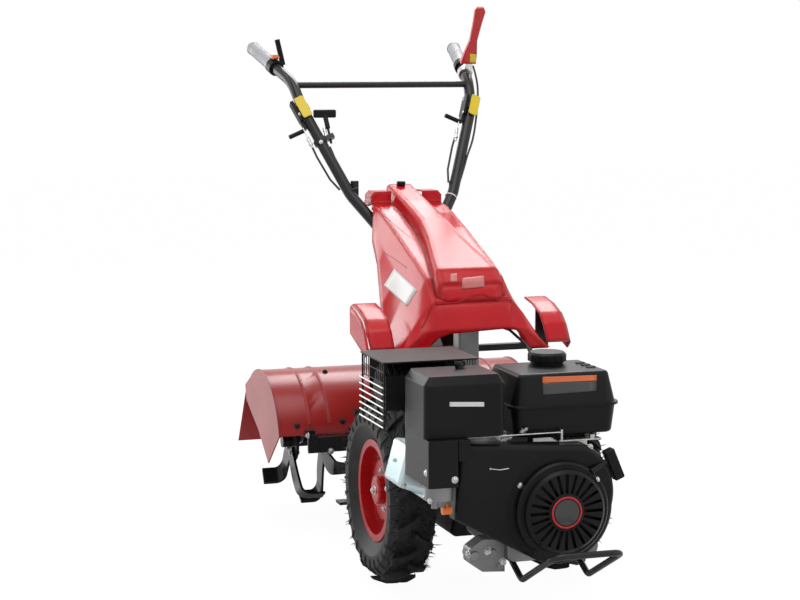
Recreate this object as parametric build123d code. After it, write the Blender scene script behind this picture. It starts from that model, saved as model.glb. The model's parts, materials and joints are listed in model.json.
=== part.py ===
from build123d import *

import os
from math import cos, pi, radians, sin

os.makedirs("parts", exist_ok=True)

# A petrol walking tractor with a tine tiller behind it, in millimetres.
# X points to the driver's left, Y to the rear, Z up. While it is drawn, the wheel axle is at Y = 0
# and the ground at Z = 0. At the end every piece is moved so that Y = 0 is the middle of the length.

# Gaps between pieces
seat_gap = 0.3
shaft_gap = 0.4
swing_gap = 6

# Wheels
tyre_radius = 207.5
tyre_half_width = 52
tyre_wall = 8
shoulder_drop = 14
lug_height = 15
lug_width = 17
lug_sweep = 46
lug_count = 15
wheel_x = 196
rim_seat_radius = 101.5
rim_flange_radius = 113.5
rim_half_width = 38
rim_wall = 3.5
wheel_disc_inset = 28
wheel_disc_wall = 4
wheel_disc_dish = 8
hub_radius = 31
hub_flange_radius = 58
hub_flange_wall = 8
axle_radius = 14
axle_start_x = 70

# Transmission
gearbox_half_width = 82
gearbox_front_y = -130
gearbox_rear_y = 140
gearbox_bottom_z = 112
gearbox_top_z = 335
gearbox_corner = 30
cover_wall = 9
axle_tube_radius = 32
axle_tube_end_x = 122
bell_radius = 96
bell_neck_radius = 74
bell_flange_wall = 16
drive_tube_radius = 36
drive_tube_z = 205

# Engine
crank_x = -5
crank_z = 266
crankcase_front_y = -490
crankcase_rear_y = -244
crankcase_half_width = 98
crankcase_bottom_z = 155
crankcase_top_z = 358
crankcase_round = 18
cylinder_tilt = 15
cylinder_end = 232
cylinder_front_y = -395
cylinder_rear_y = -268
cylinder_half_height = 58
cylinder_core_radius = 47
head_length = 46
fin_count = 7
fin_wall = 3
rocker_depth = 62
rocker_round = 16
fan_cover_front_y = -530
fan_cover_radius = 114
fan_cover_left_x = -228
fan_cover_top_z = 410
fan_cover_low_z = 258
recoil_face_y = -559
recoil_radius = 84
recoil_flange_radius = 98
recoil_flange_wall = 13
recoil_wall = 4
recoil_hub_radius = 38
slot_count = 24
slot_width = 6.5
pull_length = 66
pull_width = 22
pull_rope_radius = 3.5
pull_lean = 23
pull_angle = 37
engine_mount_wall = 16

# Tank
tank_left_x = -98
tank_right_x = 140
tank_front_y = -500
tank_depth = 198
tank_bottom_z = 407
tank_seam_z = 468
tank_top_z = 533
tank_flange = 6
tank_round = 26
cap_radius = 40
cap_height = 26
cap_x = 30
cap_y = -362
cap_flute_count = 16

# Air cleaner, carburettor and controls
cleaner_left_x = -291
cleaner_right_x = -124
cleaner_front_y = -530
cleaner_rear_y = -388
cleaner_bottom_z = 423
cleaner_top_z = 545
cleaner_bevel = 17
cleaner_round = 16
choke_left_x = -290
choke_right_x = -205
choke_front_y = -548
choke_bottom_z = 330
bowl_x = -259
bowl_y = -518
bowl_radius = 28
bowl_neck_z = 302
bowl_bottom_z = 288
tap_radius = 9
throttle_rod_radius = 1.6
throttle_rod_z = 416
throttle_plate_wall = 3
hose_radius = 5

# Silencer and its guard
muffler_left_x = -312
muffler_right_x = -140
muffler_y = -284
muffler_z = 488
muffler_radius = 50
muffler_pipe_radius = 15
shield_wall = 2
shield_gap = 5
louvre_count = 14
louvre_width = 5
guard_left_x = -324
guard_right_x = -120
guard_front_y = -366
guard_rear_y = -196
guard_top_z = 553
guard_wall = 3
guard_bar_radius = 1.8
guard_bar_count = 7
guard_bar_pitch = 13.5
guard_bar_low_z = 419
guard_wire_radius = 1
guard_wire_pitch = 15

# Bumper
bumper_tube_radius = 6.5
bumper_half_width = 72
bumper_front_y = -671
bumper_front_z = 207
bumper_low_y = -502
bumper_low_z = 120
bumper_seat_y = -440
bumper_seat_length = 60
bumper_bend = 22

# Hood, fenders and column
sheet_wall = 3
hood_front_y = -18
hood_ridge_y = 5
hood_ridge_z = 628
hood_rear_y = 530
hood_rear_z = 834
hood_hump_width = 33
hood_hump_rise = 14
hood_shoulder_width = 92
hood_foot_width = 178
hood_foot_z = 508.3
hood_rim_length = 56
hood_rim_rise = 22
arch_left_x = -106
arch_right_x = 112
arch_top_z = 552
fender_outer_x = 242
fender_inner_x = 181
fender_front_y = 7
fender_rear_y = 150
fender_bottom_z = 501
fender_top_z = 606
fender_open_depth = 40
fender_round = 12
stay_beam_y = 92
stay_beam_width = 20
stay_beam_height = 14
column_half_width = 24
column_foot_front_y = -40
column_foot_rear_y = 100
column_foot_step = 20
column_foot_height = 12

# Handlebar
pivot_y = 440
pivot_z = 722
pivot_tube_radius = 12
handle_tube_radius = 13.5
handle_tilt_low = -12
handle_tilt_high = 8
handle_bend = 100
crossbar_radius = 8
grip_radius = 16.5
grip_length = 122
handle_root_x = 58
handle_elbow = (132, 510, 824)
handle_plate = (220, 625, 1029)
handle_brace = (232, 677, 1094)
handle_end = (273, 905, 1177)
cable_radius = 2.6
lever_pin_radius = 5.5
lever_plate_length = 56
lever_plate_width = 24
bracket_wall = 4
clamp_wall = 4
paddle_length = 170
paddle_width = 26
paddle_wall = 9
paddle_lean = 26

# Tiller
rotor_y = 622
rotor_z = 203
rotor_shaft_radius = 15
rotor_flange_radius = 50
rotor_flange_wall = 8
tine_radius = 160
tine_wall = 6
tine_width = 34
tine_foot_length = 58
tine_bend = 26
tine_root_width = 30
tines_per_face = 2
flange_spacing = 77
flange_first_x = 98
flange_count = 3
flange_turn = 30
tiller_half_width = 330
tine_clearance = 22
tiller_hood_radius = tine_radius + tine_clearance
tiller_wall = 3
tiller_hood_start = 165
tiller_hood_end = 54
tiller_lip_length = 62.8
tiller_lip_angle = 24.7
leaf_depth = 38
rib_radius = 4
rib_places = (203, 253)
gearcase_half_width = 30
tiller_beam_height = 37
tiller_beam_depth = 28
tiller_beam_half_width = 262
skid_half_width = 26
skid_wall = 9
flap_length = 190
flap_angle = 31
hinge_radius = 4

axle_z = tyre_radius


def block(x0, x1, y0, y1, z0, z1):
    """Box between two corners."""
    return Pos((x0 + x1) / 2, (y0 + y1) / 2, (z0 + z1) / 2) * Box(x1 - x0, y1 - y0, z1 - z0)


def rod(start, end, radius):
    """Round bar from one point to another."""
    along = Vector(*end) - Vector(*start)
    return Solid.make_cylinder(radius, along.length, Plane(origin=start, z_dir=along))


def pipe(points, radius, bend):
    """Round bar bent along a list of points."""
    path = FilletPolyline(*points, radius=bend) if len(points) > 2 else Line(*points)
    return sweep(Plane(origin=path @ 0, z_dir=path % 0) * Circle(radius), path=path)


def slab_x(outline, x0, x1):
    """Flat outline of (y, z) points, thick from x0 to x1."""
    face = make_face(Polyline(*[(x0, y, z) for y, z in outline], close=True))
    return Solid.extrude(face.face(), Vector(x1 - x0, 0, 0))


def slab_y(outline, y0, y1):
    """Flat outline of (x, z) points, thick from y0 to y1."""
    face = make_face(Polyline(*[(x, y0, z) for x, z in outline], close=True))
    return Solid.extrude(face.face(), Vector(0, y1 - y0, 0))


def turned_x(outline, x, y, z):
    """Outline of (x, radius) points turned about the X direction through a centre."""
    face = make_face(Polyline(*[(a, 0, r) for a, r in outline], close=True))
    return Pos(x, y, z) * revolve(face, Axis.X)


def mirrored(shape):
    """The shape on the other side of the machine."""
    return mirror(shape, about=Plane.YZ)


def both_sides(shape):
    """The shape with its mirror image, as separate solids."""
    return Compound([*shape.solids(), *mirrored(shape).solids()])


def group(*shapes):
    """Several solids that keep apart, as one node."""
    return Compound([solid for shape in shapes for solid in shape.solids()])


def blend(low, high, share):
    """Value at a share of the way from low to high."""
    return low + (high - low) * share


# Wheels
def tyre_envelope(grow):
    """Revolved outside of the tread, drawn in by a depth."""
    half = tyre_half_width
    top = tyre_radius
    crown = [(-half - grow, top - 3 * shoulder_drop), (-half - grow, top - 2 * shoulder_drop)]
    crown += [(-half * 0.8, top - 0.6 * shoulder_drop), (-half * 0.35, top)]
    return turned_x(crown + [(-x, r) for x, r in reversed(crown)], wheel_x, 0, axle_z)


def tyre_lug(number, side):
    """One slanted bar of the tread, from the middle of the tyre to its shoulder."""
    inner = tyre_radius - lug_height - 3
    outer = tyre_radius + 1
    width = lug_width
    reach = tyre_half_width + 3
    path = [(-4, -width / 2), (reach, lug_sweep - width / 2), (reach, lug_sweep + width / 2), (-4, width / 2)]
    face = make_face(Polyline(*[(side * x, -y, inner) for x, y in path], close=True))
    bar = Solid.extrude(face.face(), Vector(0, 0, outer - inner))
    turn = 360 * (number + (0.5 if side < 0 else 0)) / lug_count
    return Pos(wheel_x, 0, axle_z) * (Rot(turn, 0, 0) * bar)


def tyre():
    """Hollow tyre with a chevron tread, standing on the left wheel's place."""
    half = tyre_half_width
    lip = rim_half_width - rim_wall
    carcass = tyre_radius - lug_height
    height = carcass - rim_flange_radius
    wall = tyre_wall
    side = [(-lip, rim_seat_radius), (-lip, rim_flange_radius),
            (-half, blend(rim_flange_radius, carcass, 0.4))]
    side += [(-half, carcass - 0.3 * height), (-half * 0.75, carcass - 0.06 * height), (-half * 0.3, carcass)]
    inside = [(-lip + wall, rim_seat_radius), (-half + wall, blend(rim_flange_radius, carcass, 0.4))]
    inside += [(-half + wall, carcass - 0.3 * height - 2), (-half * 0.65, carcass - 0.06 * height - wall)]
    body = turned_x(side + [(-x, r) for x, r in reversed(side)], wheel_x, 0, axle_z)
    hollow = turned_x(inside + [(-x, r) for x, r in reversed(inside)], wheel_x, 0, axle_z)
    core = rod((wheel_x - half, 0, axle_z), (wheel_x + half, 0, axle_z), rim_seat_radius)
    lugs = group(*[tyre_lug(number, way) for number in range(lug_count) for way in (-1, 1)])
    return body + (lugs & tyre_envelope(1)) - hollow - core


def rim():
    """Rim barrel with two flanges and the dished disc between them."""
    half = rim_half_width
    seat = rim_seat_radius
    low = seat - rim_wall
    flange = rim_flange_radius
    barrel = [(-half, flange), (-half + rim_wall, flange), (-half + rim_wall, seat), (half - rim_wall, seat)]
    barrel += [(half - rim_wall, flange), (half, flange), (half, low), (-half, low)]
    disc_x = half - wheel_disc_inset
    raised = disc_x + wheel_disc_dish
    wall = wheel_disc_wall
    bend = hub_flange_radius + wheel_disc_dish
    disc = [(disc_x, low), (disc_x, bend + 2 * wheel_disc_dish), (raised, bend), (raised, hub_radius)]
    disc += [(raised - wall, hub_radius), (raised - wall, bend - 2),
             (disc_x - wall, bend + 2 * wheel_disc_dish - 2)]
    disc += [(disc_x - wall, low)]
    return turned_x(barrel, wheel_x, 0, axle_z) + turned_x(disc, wheel_x, 0, axle_z)


def hub():
    """Axle stub with the flange that the wheel disc is bolted to."""
    face_x = wheel_x + rim_half_width - wheel_disc_inset + wheel_disc_dish - wheel_disc_wall
    neck = axle_radius + wheel_disc_dish
    stub = rod((axle_start_x, 0, axle_z), (face_x, 0, axle_z), axle_radius)
    stub += rod((axle_tube_end_x + wheel_disc_wall, 0, axle_z), (face_x, 0, axle_z), neck)
    stub += rod((face_x - hub_flange_wall, 0, axle_z), (face_x, 0, axle_z), hub_flange_radius)
    cap_end = face_x + wheel_disc_inset - wheel_disc_dish
    stub += rod((face_x, 0, axle_z), (cap_end, 0, axle_z), hub_radius - seat_gap)
    return chamfer(stub.edges().filter_by(GeomType.CIRCLE).sort_by(Axis.X)[-1], 4)


# Transmission
def gearbox():
    """Casting between the wheels with its axle tubes, side covers and top cover."""
    front, rear, low, top = gearbox_front_y, gearbox_rear_y, gearbox_bottom_z, gearbox_top_z
    corner = gearbox_corner
    half = gearbox_half_width
    outline = [(front, low + 2.6 * corner), (front + 1.3 * corner, low), (rear - 2 * corner, low)]
    outline += [(rear, low + 1.6 * corner), (rear, top - corner), (rear - corner, top)]
    outline += [(front + 2 * corner, top), (front, top - 0.7 * corner)]
    body = slab_x(outline, -half, half)
    body = fillet(body.edges().filter_by(lambda e: abs((e % 0.5).X) < 0.01), 12)
    body += rod((-axle_tube_end_x, 0, axle_z), (axle_tube_end_x, 0, axle_z), axle_tube_radius)
    for side in (-1, 1):
        cap = axle_tube_radius + 2 * cover_wall
        body += rod((side * half, 0, axle_z), (side * (half + cover_wall), 0, axle_z), cap)
        bore_end = side * (axle_tube_end_x + 1)
        body -= rod((side * (axle_start_x - 6), 0, axle_z), (bore_end, 0, axle_z), axle_radius + shaft_gap)
    flange = drive_tube_radius + 2 * cover_wall
    tail = rod((0, rear - corner, drive_tube_z), (0, rear, drive_tube_z), flange)
    return body + tail


def bell_housing():
    """Round clutch housing between gearbox and engine."""
    start = crankcase_rear_y
    rim_y = start + bell_flange_wall
    outline = [(bell_radius, start), (bell_radius, rim_y), (bell_radius - 12, rim_y)]
    outline += [(bell_neck_radius, gearbox_front_y), (0, gearbox_front_y), (0, start)]
    face = make_face(Polyline(*[(r, y, 0) for r, y in outline], close=True))
    return Pos(crank_x, 0, crank_z) * revolve(face, Axis.Y)


def drive_tube():
    """Round tube with a flange at its front that carries the tiller behind the gearbox."""
    end = rotor_y - tine_radius * 0.64
    tube = rod((0, gearbox_rear_y, drive_tube_z), (0, end, drive_tube_z), drive_tube_radius)
    flange = drive_tube_radius + 2 * cover_wall
    return tube + rod((0, gearbox_rear_y, drive_tube_z), (0, gearbox_rear_y + cover_wall, drive_tube_z),
                      flange)


# Engine
def cylinder_frame():
    """Frame at the crank with X along the cylinder."""
    tilt = radians(cylinder_tilt)
    return Plane(origin=(crank_x, 0, crank_z), x_dir=(-cos(tilt), 0, sin(tilt)),
                 z_dir=(sin(tilt), 0, cos(tilt)))


def engine_block():
    """Crankcase with the finned, inclined cylinder and its head."""
    x0 = crank_x - crankcase_half_width
    x1 = crank_x + crankcase_half_width
    case = block(x0, x1, crankcase_front_y, crankcase_rear_y, crankcase_bottom_z, crankcase_top_z)
    case = fillet(case.edges().filter_by(Axis.Y), crankcase_round)
    half = cylinder_half_height
    depth = cylinder_rear_y - cylinder_front_y
    middle = (cylinder_front_y + cylinder_rear_y) / 2
    head_start = cylinder_end - head_length
    barrel = Rot(0, 90, 0) * Cylinder(cylinder_core_radius, head_start,
                                      align=(Align.CENTER, Align.CENTER, Align.MIN))
    cylinder = barrel + Pos(head_start + head_length / 2, 0, 0) * Box(head_length, depth, 2 * half)
    first = crankcase_half_width + fin_wall
    pitch = (head_start - first) / (fin_count + 0.5)
    for number in range(fin_count):
        cylinder += Pos(first + (number + 0.5) * pitch, 0, 0) * Box(fin_wall, depth, 2 * half - fin_wall)
    return case + cylinder_frame() * (Pos(0, -middle, 0) * cylinder)


def rocker_cover():
    """Pressed cover on the cylinder head with its rim."""
    middle = (cylinder_front_y + cylinder_rear_y) / 2
    depth = cylinder_rear_y - cylinder_front_y - 2 * fin_wall
    height = 2 * cylinder_half_height - 2 * fin_wall
    cover = extrude(RectangleRounded(height - 8, depth - 8, rocker_round), rocker_depth, taper=7)
    cover = fillet(cover.faces().sort_by(Axis.Z)[-1].edges(), rocker_round * 0.6)
    cover += extrude(RectangleRounded(height, depth, rocker_round), fin_wall)
    return cylinder_frame() * (Pos(cylinder_end, -middle, 0) * (Rot(0, 90, 0) * cover))


def fan_cover():
    """Blower housing round the flywheel, drawn out towards the cylinder."""
    radius = fan_cover_radius
    left, top, low = fan_cover_left_x, fan_cover_top_z, fan_cover_low_z
    y = fan_cover_front_y
    foot_angle = radians(235)
    foot = (crank_x + radius * cos(foot_angle), y, crank_z + radius * sin(foot_angle))
    under = (crank_x + radius * cos(radians(-60)), y, crank_z + radius * sin(radians(-60)))
    right = (crank_x + radius, y, crank_z)
    bulge = (crank_x + radius * 0.93, y, crank_z + radius * 0.66)
    peak = (crank_x + radius * 0.5, y, top - 18)
    outline = Line((left, y, low), foot) + ThreePointArc(foot, under, right) + ThreePointArc(right, bulge,
                                                                                             peak)
    outline += Line(peak, (left + 8, y, top))
    outline += Line((left + 8, y, top), (left, y, low))
    body = extrude(make_face(outline), crankcase_front_y - y, dir=(0, 1, 0))
    front = body.faces().sort_by(Axis.Y)[0]
    body = fillet(front.edges(), 12)
    duct_right = crank_x - crankcase_half_width - seat_gap
    duct = [(left + 3, low + 24), (left + 8, top - 6), (duct_right, top - 14), (duct_right, low)]
    duct_end = cylinder_front_y - seat_gap
    return body + slab_y(duct, crankcase_front_y - 1, duct_end)


def recoil_starter():
    """Hollow round starter housing with radial slots and a plain hub."""
    back = fan_cover_front_y
    depth = back - recoil_face_y
    wall = recoil_wall
    radius = recoil_radius
    flange = recoil_flange_radius
    edge = 6
    outline = [(0, recoil_face_y), (radius - edge, recoil_face_y), (radius, recoil_face_y + edge)]
    outline += [(radius + 3, back - recoil_flange_wall), (flange - 4, back - recoil_flange_wall)]
    outline += [(flange, back - recoil_flange_wall + 4), (flange, back), (0, back)]
    face = make_face(Polyline(*[(r, y, 0) for r, y in outline], close=True))
    body = Pos(crank_x, 0, crank_z) * revolve(face, Axis.Y)
    room_end = back - depth / 3
    body -= rod((crank_x, recoil_face_y + wall, crank_z), (crank_x, room_end, crank_z), radius - edge)
    inner = recoil_hub_radius
    reach = radius - edge - 1
    slot = Pos((inner + reach) / 2, 0, 0) * Box(reach - inner, 3 * wall, slot_width)
    place = Pos(crank_x, recoil_face_y, crank_z)
    slots = group(*[place * (Rot(0, 360 * number / slot_count, 0) * slot) for number in range(slot_count)])
    hub_rim = rod((crank_x, recoil_face_y - 1.5, crank_z), (crank_x, recoil_face_y + wall, crank_z),
                  inner - 3)
    return body - slots + hub_rim


def recoil_grip(scroll):
    """Pull handle on its short rope, at the upper right of the starter."""
    along = Vector(sin(radians(pull_lean)), 0, -cos(radians(pull_lean)))
    reach = fan_cover_radius + pull_width
    angle = radians(pull_angle)
    y = fan_cover_front_y + pull_width / 2 + 4
    centre = Vector(crank_x + reach * cos(angle) + 10, y, crank_z + reach * sin(angle))
    place = Plane(origin=centre, x_dir=(0, 1, 0), z_dir=along)
    body = Box(pull_width, pull_width, pull_length)
    body = place * fillet(body.edges(), 4)
    inward = Vector(-cos(angle), 0, -sin(angle))
    body += rod(tuple(centre), tuple(centre + inward * pull_width), pull_rope_radius)
    return (body - scroll).solids().sort_by(SortBy.VOLUME)[-1]


def tank_half(height, taper):
    """Half of the tank, drawn up or down from the seam."""
    width = tank_right_x - tank_left_x - 2 * tank_flange
    return extrude(RectangleRounded(width, tank_depth - 2 * tank_flange, tank_round), height, taper=taper)


def fuel_tank():
    """Tank of two pressings with a seam flange and pressed ribs on its right shoulder."""
    middle_x = (tank_left_x + tank_right_x) / 2
    middle_y = tank_front_y + tank_depth / 2
    width = tank_right_x - tank_left_x
    low = tank_half(tank_bottom_z - tank_seam_z, 7)
    low = fillet(low.faces().sort_by(Axis.Z)[0].edges(), 8)
    high = tank_half(tank_top_z - tank_seam_z, 14)
    high = fillet(high.faces().sort_by(Axis.Z)[-1].edges(), 9)
    seam = extrude(RectangleRounded(width, tank_depth, tank_round + tank_flange), 5)
    tank = Pos(middle_x, middle_y, tank_seam_z) * (low + high + Pos(0, 0, -2.5) * seam)
    rib_x = tank_right_x - tank_flange - (tank_top_z - tank_seam_z) * 0.25 - 9
    for number in range(3):
        rib_y = middle_y + tank_depth * (0.12 - 0.14 * number)
        tank += rod((rib_x - 20, rib_y, tank_top_z - 3), (rib_x - 2, rib_y, tank_top_z - 3), 6)
    return tank


def fuel_cap():
    """Fluted screw cap on the neck of the tank."""
    neck = Cylinder(cap_radius - 6, cap_height, align=(Align.CENTER, Align.CENTER, Align.MIN))
    top = Pos(0, 0, cap_height * 0.3) * Cylinder(cap_radius, cap_height * 0.7,
                                                 align=(Align.CENTER, Align.CENTER, Align.MIN))
    top = chamfer(top.faces().sort_by(Axis.Z)[-1].edges(), 5)
    flutes = PolarLocations(cap_radius * 1.03, cap_flute_count) * Cylinder(2.5, 3 * cap_height)
    return Pos(cap_x, cap_y, tank_top_z) * (neck + (top - flutes))


def tank_bracket():
    """Saddle between crankcase and tank."""
    middle_x = (tank_left_x + tank_right_x) / 2
    half = (tank_right_x - tank_left_x) * 0.3
    middle_y = tank_front_y + tank_depth / 2
    reach = tank_depth * 0.3
    x0, x1 = middle_x - half, min(middle_x + half, crank_x + crankcase_half_width - crankcase_round)
    saddle = block(x0, x1, middle_y - reach, middle_y + reach, crankcase_top_z, tank_bottom_z)
    hole = block(x0 + 12, x1 - 12, middle_y - reach - 1, middle_y + reach + 1, crankcase_top_z + 8,
                 tank_bottom_z - 8)
    return saddle - hole


def air_cleaner():
    """Filter cover with bevelled top edges over the carburettor."""
    width = cleaner_right_x - cleaner_left_x
    depth = cleaner_rear_y - cleaner_front_y
    outline = RectangleRounded(width, depth, cleaner_round)
    straight = cleaner_top_z - cleaner_bevel - cleaner_bottom_z
    body = extrude(outline, straight) + Pos(0, 0, straight) * extrude(outline, cleaner_bevel, taper=35)
    middle = ((cleaner_left_x + cleaner_right_x) / 2, (cleaner_front_y + cleaner_rear_y) / 2,
              cleaner_bottom_z)
    return Pos(*middle) * body


def carburettor():
    """Choke housing under the air cleaner, with its lip in front of the blower housing."""
    split = fan_cover_left_x - seat_gap
    top = cleaner_bottom_z
    body = block(choke_left_x, split, choke_front_y, cylinder_front_y - seat_gap, choke_bottom_z, top)
    lip = block(split, choke_right_x, choke_front_y, fan_cover_front_y - seat_gap,
                blend(choke_bottom_z, top, 0.55), top)
    body = fillet(body.edges().filter_by(Axis.Z), 5)
    return body + lip


def float_bowl():
    """Bright bowl under the choke housing with its drain boss."""
    bowl = rod((bowl_x, bowl_y, bowl_neck_z), (bowl_x, bowl_y, choke_bottom_z), bowl_radius)
    cone = Solid.make_cone(bowl_radius * 0.45, bowl_radius * 0.9, bowl_neck_z - bowl_bottom_z)
    boss_x = bowl_x - bowl_radius * 0.5
    boss = rod((boss_x, bowl_y - bowl_radius * 0.5, bowl_bottom_z),
               (boss_x, bowl_y - bowl_radius * 0.5, bowl_neck_z), 7)
    return bowl + Pos(bowl_x, bowl_y, bowl_bottom_z) * cone + boss


def fuel_tap():
    """Small tap behind the float bowl."""
    x, y, z = bowl_x + bowl_radius * 0.55, bowl_y, bowl_bottom_z - tap_radius
    tap = rod((x - tap_radius, y, z), (x + tap_radius, y, z), tap_radius)
    return tap + rod((x, y, z), (x, y, bowl_neck_z), tap_radius * 0.5) - float_bowl()


def throttle_link():
    """Control plate on the crankcase and the rod from it to the choke housing."""
    wall = throttle_plate_wall
    y = crankcase_front_y - 4 * wall
    plate_z = fan_cover_top_z - 13
    right = crank_x + crankcase_half_width
    left = crank_x + 2 * wall
    plate = block(left, right, y, crankcase_front_y + 10 * wall, plate_z, plate_z + wall)
    post_y = crankcase_front_y + 2 * wall
    plate += block(left + 4 * wall, right - 8 * wall, post_y, post_y + wall, crankcase_top_z, plate_z)
    plate += rod((left + 2 * wall, y + wall, plate_z),
                 (left + 2 * wall, y + wall, throttle_rod_z + 2 * wall), wall)
    plate += rod((right - 5 * wall, y + 5 * wall, plate_z),
                 (right - 5 * wall, y + 5 * wall, plate_z + 3 * wall), 2 * wall)
    start = (fan_cover_left_x - seat_gap, y + wall, throttle_rod_z)
    return plate + rod(start, (left + 2 * wall, y + wall, throttle_rod_z), throttle_rod_radius)


def breather_hose(cover, cleaner):
    """Hose from the rocker cover to the air cleaner."""
    x = choke_left_x + 4 * hose_radius
    y = cylinder_front_y - 3 * hose_radius
    low = crank_z + (cylinder_end + rocker_depth / 2) * sin(radians(cylinder_tilt))
    points = [(x, y, cleaner_bottom_z), (x - hose_radius, y, blend(low, cleaner_bottom_z, 0.5))]
    points += [(x, y, low), (x, cylinder_front_y + 4 * hose_radius, low)]
    return pipe(points, hose_radius, 2 * hose_radius) - cover - cleaner


def engine_mount():
    """Casting at the foot of the crankcase with its bolt bosses."""
    x = crank_x - crankcase_half_width - seat_gap
    wall = engine_mount_wall
    z = crankcase_bottom_z
    outline = [(x, z + 2.8 * wall), (x - 2.9 * wall, z + 3 * wall), (x - 4.7 * wall, z + 1.8 * wall)]
    outline += [(x - 4.7 * wall, z), (x - 3 * wall, z - 1.2 * wall), (x, z - 1.4 * wall)]
    y0 = crankcase_front_y + wall
    y1 = y0 + 2.4 * wall
    arm = slab_y(outline, y0, y1)
    arm = fillet(arm.edges().filter_by(Axis.Y).sort_by(Axis.X)[:4], wall / 2)
    for across, up, radius in ((4.1, 0.9, 0.62), (1.7, 1.1, 0.55), (0.6, -0.6, 0.45)):
        centre = (x - across * wall, y0 - 5, z + up * wall)
        arm += rod(centre, (centre[0], y1 + 5, centre[2]), radius * wall)
    return arm


# Silencer and its guard
def muffler(cover):
    """Round silencer with ribbed ends, its stays and the pipe down to the head."""
    radius = muffler_radius
    length = muffler_right_x - muffler_left_x
    outline = [(0, 0), (0, radius * 0.6), (6, radius * 0.82), (6, radius * 0.9), (10, radius * 0.9)]
    outline += [(10, radius), (15, radius), (15, radius - 3), (20, radius - 3), (20, radius), (25, radius)]
    outline += [(25, radius - 3), (length - 15, radius - 3), (length - 15, radius), (length - 10, radius)]
    outline += [(length - 6, radius * 0.8), (length, radius * 0.6), (length, 0)]
    body = turned_x(outline, muffler_left_x, muffler_y, muffler_z)
    top = muffler_z + radius + shield_gap
    for share in (0.25, 0.8):
        x = blend(muffler_left_x, muffler_right_x, share)
        body += rod((x, muffler_y, muffler_z), (x, muffler_y, top), 5)
    x = crank_x - (cylinder_end - head_length / 2) * cos(radians(cylinder_tilt))
    return body + rod((x, muffler_y, crankcase_top_z), (x, muffler_y, muffler_z),
                      muffler_pipe_radius) - engine_block() - cover


def shield_outline(reach):
    """Open box section round the silencer at a distance from its centre."""
    y, z = muffler_y, muffler_z
    bevel = reach * 0.45
    return [(y - reach, z - reach * 0.7), (y - reach, z + reach - bevel), (y - reach + bevel, z + reach),
            (y + reach, z + reach), (y + reach, z - reach * 0.3)]


def muffler_shield():
    """Bent heat shield with a row of louvres in its bevel."""
    inner = muffler_radius + shield_gap
    outer = inner + shield_wall
    outline = shield_outline(outer) + list(reversed(shield_outline(inner)))
    outline[4] = (outline[4][0], outline[5][1])
    outline[0] = (outline[0][0], outline[9][1])
    sheet = slab_x(outline, muffler_left_x, muffler_right_x)
    middle = outer * (1 - 0.225)
    pitch = (muffler_right_x - muffler_left_x) / louvre_count
    cutter = Rot(45, 0, 0) * Box(louvre_width, outer * 0.45, 8 * shield_wall)
    for number in range(louvre_count):
        x = muffler_left_x + (number + 0.5) * pitch
        sheet -= Pos(x, muffler_y - middle, muffler_z + middle) * cutter
    return sheet


def muffler_guard():
    """Top plate over the silencer with the wire mesh that hangs from it."""
    low = guard_top_z - guard_wall
    plate = block(guard_left_x, guard_right_x, guard_front_y, guard_rear_y, low, guard_top_z)
    plate = fillet(plate.edges().filter_by(Axis.Z), 8)
    seat = muffler_z + muffler_radius + shield_gap + shield_wall
    for share in (0.3, 0.8):
        x = blend(muffler_left_x, muffler_right_x, share)
        plate += rod((x, muffler_y, seat), (x, muffler_y, low + 1), 7)
    radius = guard_wire_radius
    edge = guard_left_x + 4 * radius
    first = guard_front_y + 4 * radius + 6
    last = guard_rear_y - 4 * radius - 6
    bars_top = guard_bar_low_z + (guard_bar_count - 1) * guard_bar_pitch
    for y in (first, last):
        plate += rod((edge, y, guard_bar_low_z - 4), (edge, y, low + 1), 2.2)
    wires = int((last - first) / guard_wire_pitch)
    for number in range(1, wires + 1):
        y = first + number * (last - first) / (wires + 1)
        plate += rod((edge, y, bars_top + 5), (edge, y, low + 1), radius)
    for z in (bars_top + 8, blend(bars_top, low, 0.6)):
        plate += rod((edge, first, z), (edge, last, z), radius)
    front = guard_front_y + 4 * radius
    count = 12
    for number in range(count):
        x = blend(guard_right_x - 70, guard_right_x - 8, number / (count - 1))
        plate += rod((x, front, low - 26), (x, front, low + 1), radius)
    return plate + rod((guard_right_x - 72, front, low - 24), (guard_right_x - 6, front, low - 24), radius)


def guard_bars():
    """Bright bars across the open side of the guard."""
    x = guard_left_x + 4 * guard_wire_radius - 2.2 - guard_bar_radius - seat_gap / 2
    start = guard_front_y + 4
    end = guard_rear_y - 4
    bars = []
    for number in range(guard_bar_count):
        z = guard_bar_low_z + number * guard_bar_pitch
        bars.append(rod((x, start, z), (x, end, z), guard_bar_radius))
    return group(*bars)


def front_bumper():
    """Bent tube in front of the engine."""
    left = crank_x - bumper_half_width
    right = crank_x + bumper_half_width
    seat_z = crankcase_bottom_z - bumper_tube_radius - seat_gap
    seat_end = bumper_seat_y + bumper_seat_length
    points = [(left, seat_end, seat_z), (left, bumper_seat_y, seat_z), (left, bumper_low_y, bumper_low_z)]
    points += [(left, bumper_front_y, bumper_front_z), (right, bumper_front_y, bumper_front_z)]
    points += [(right, bumper_low_y, bumper_low_z), (right, bumper_seat_y, seat_z), (right, seat_end, seat_z)]
    return pipe(points, bumper_tube_radius, bumper_bend)


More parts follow.
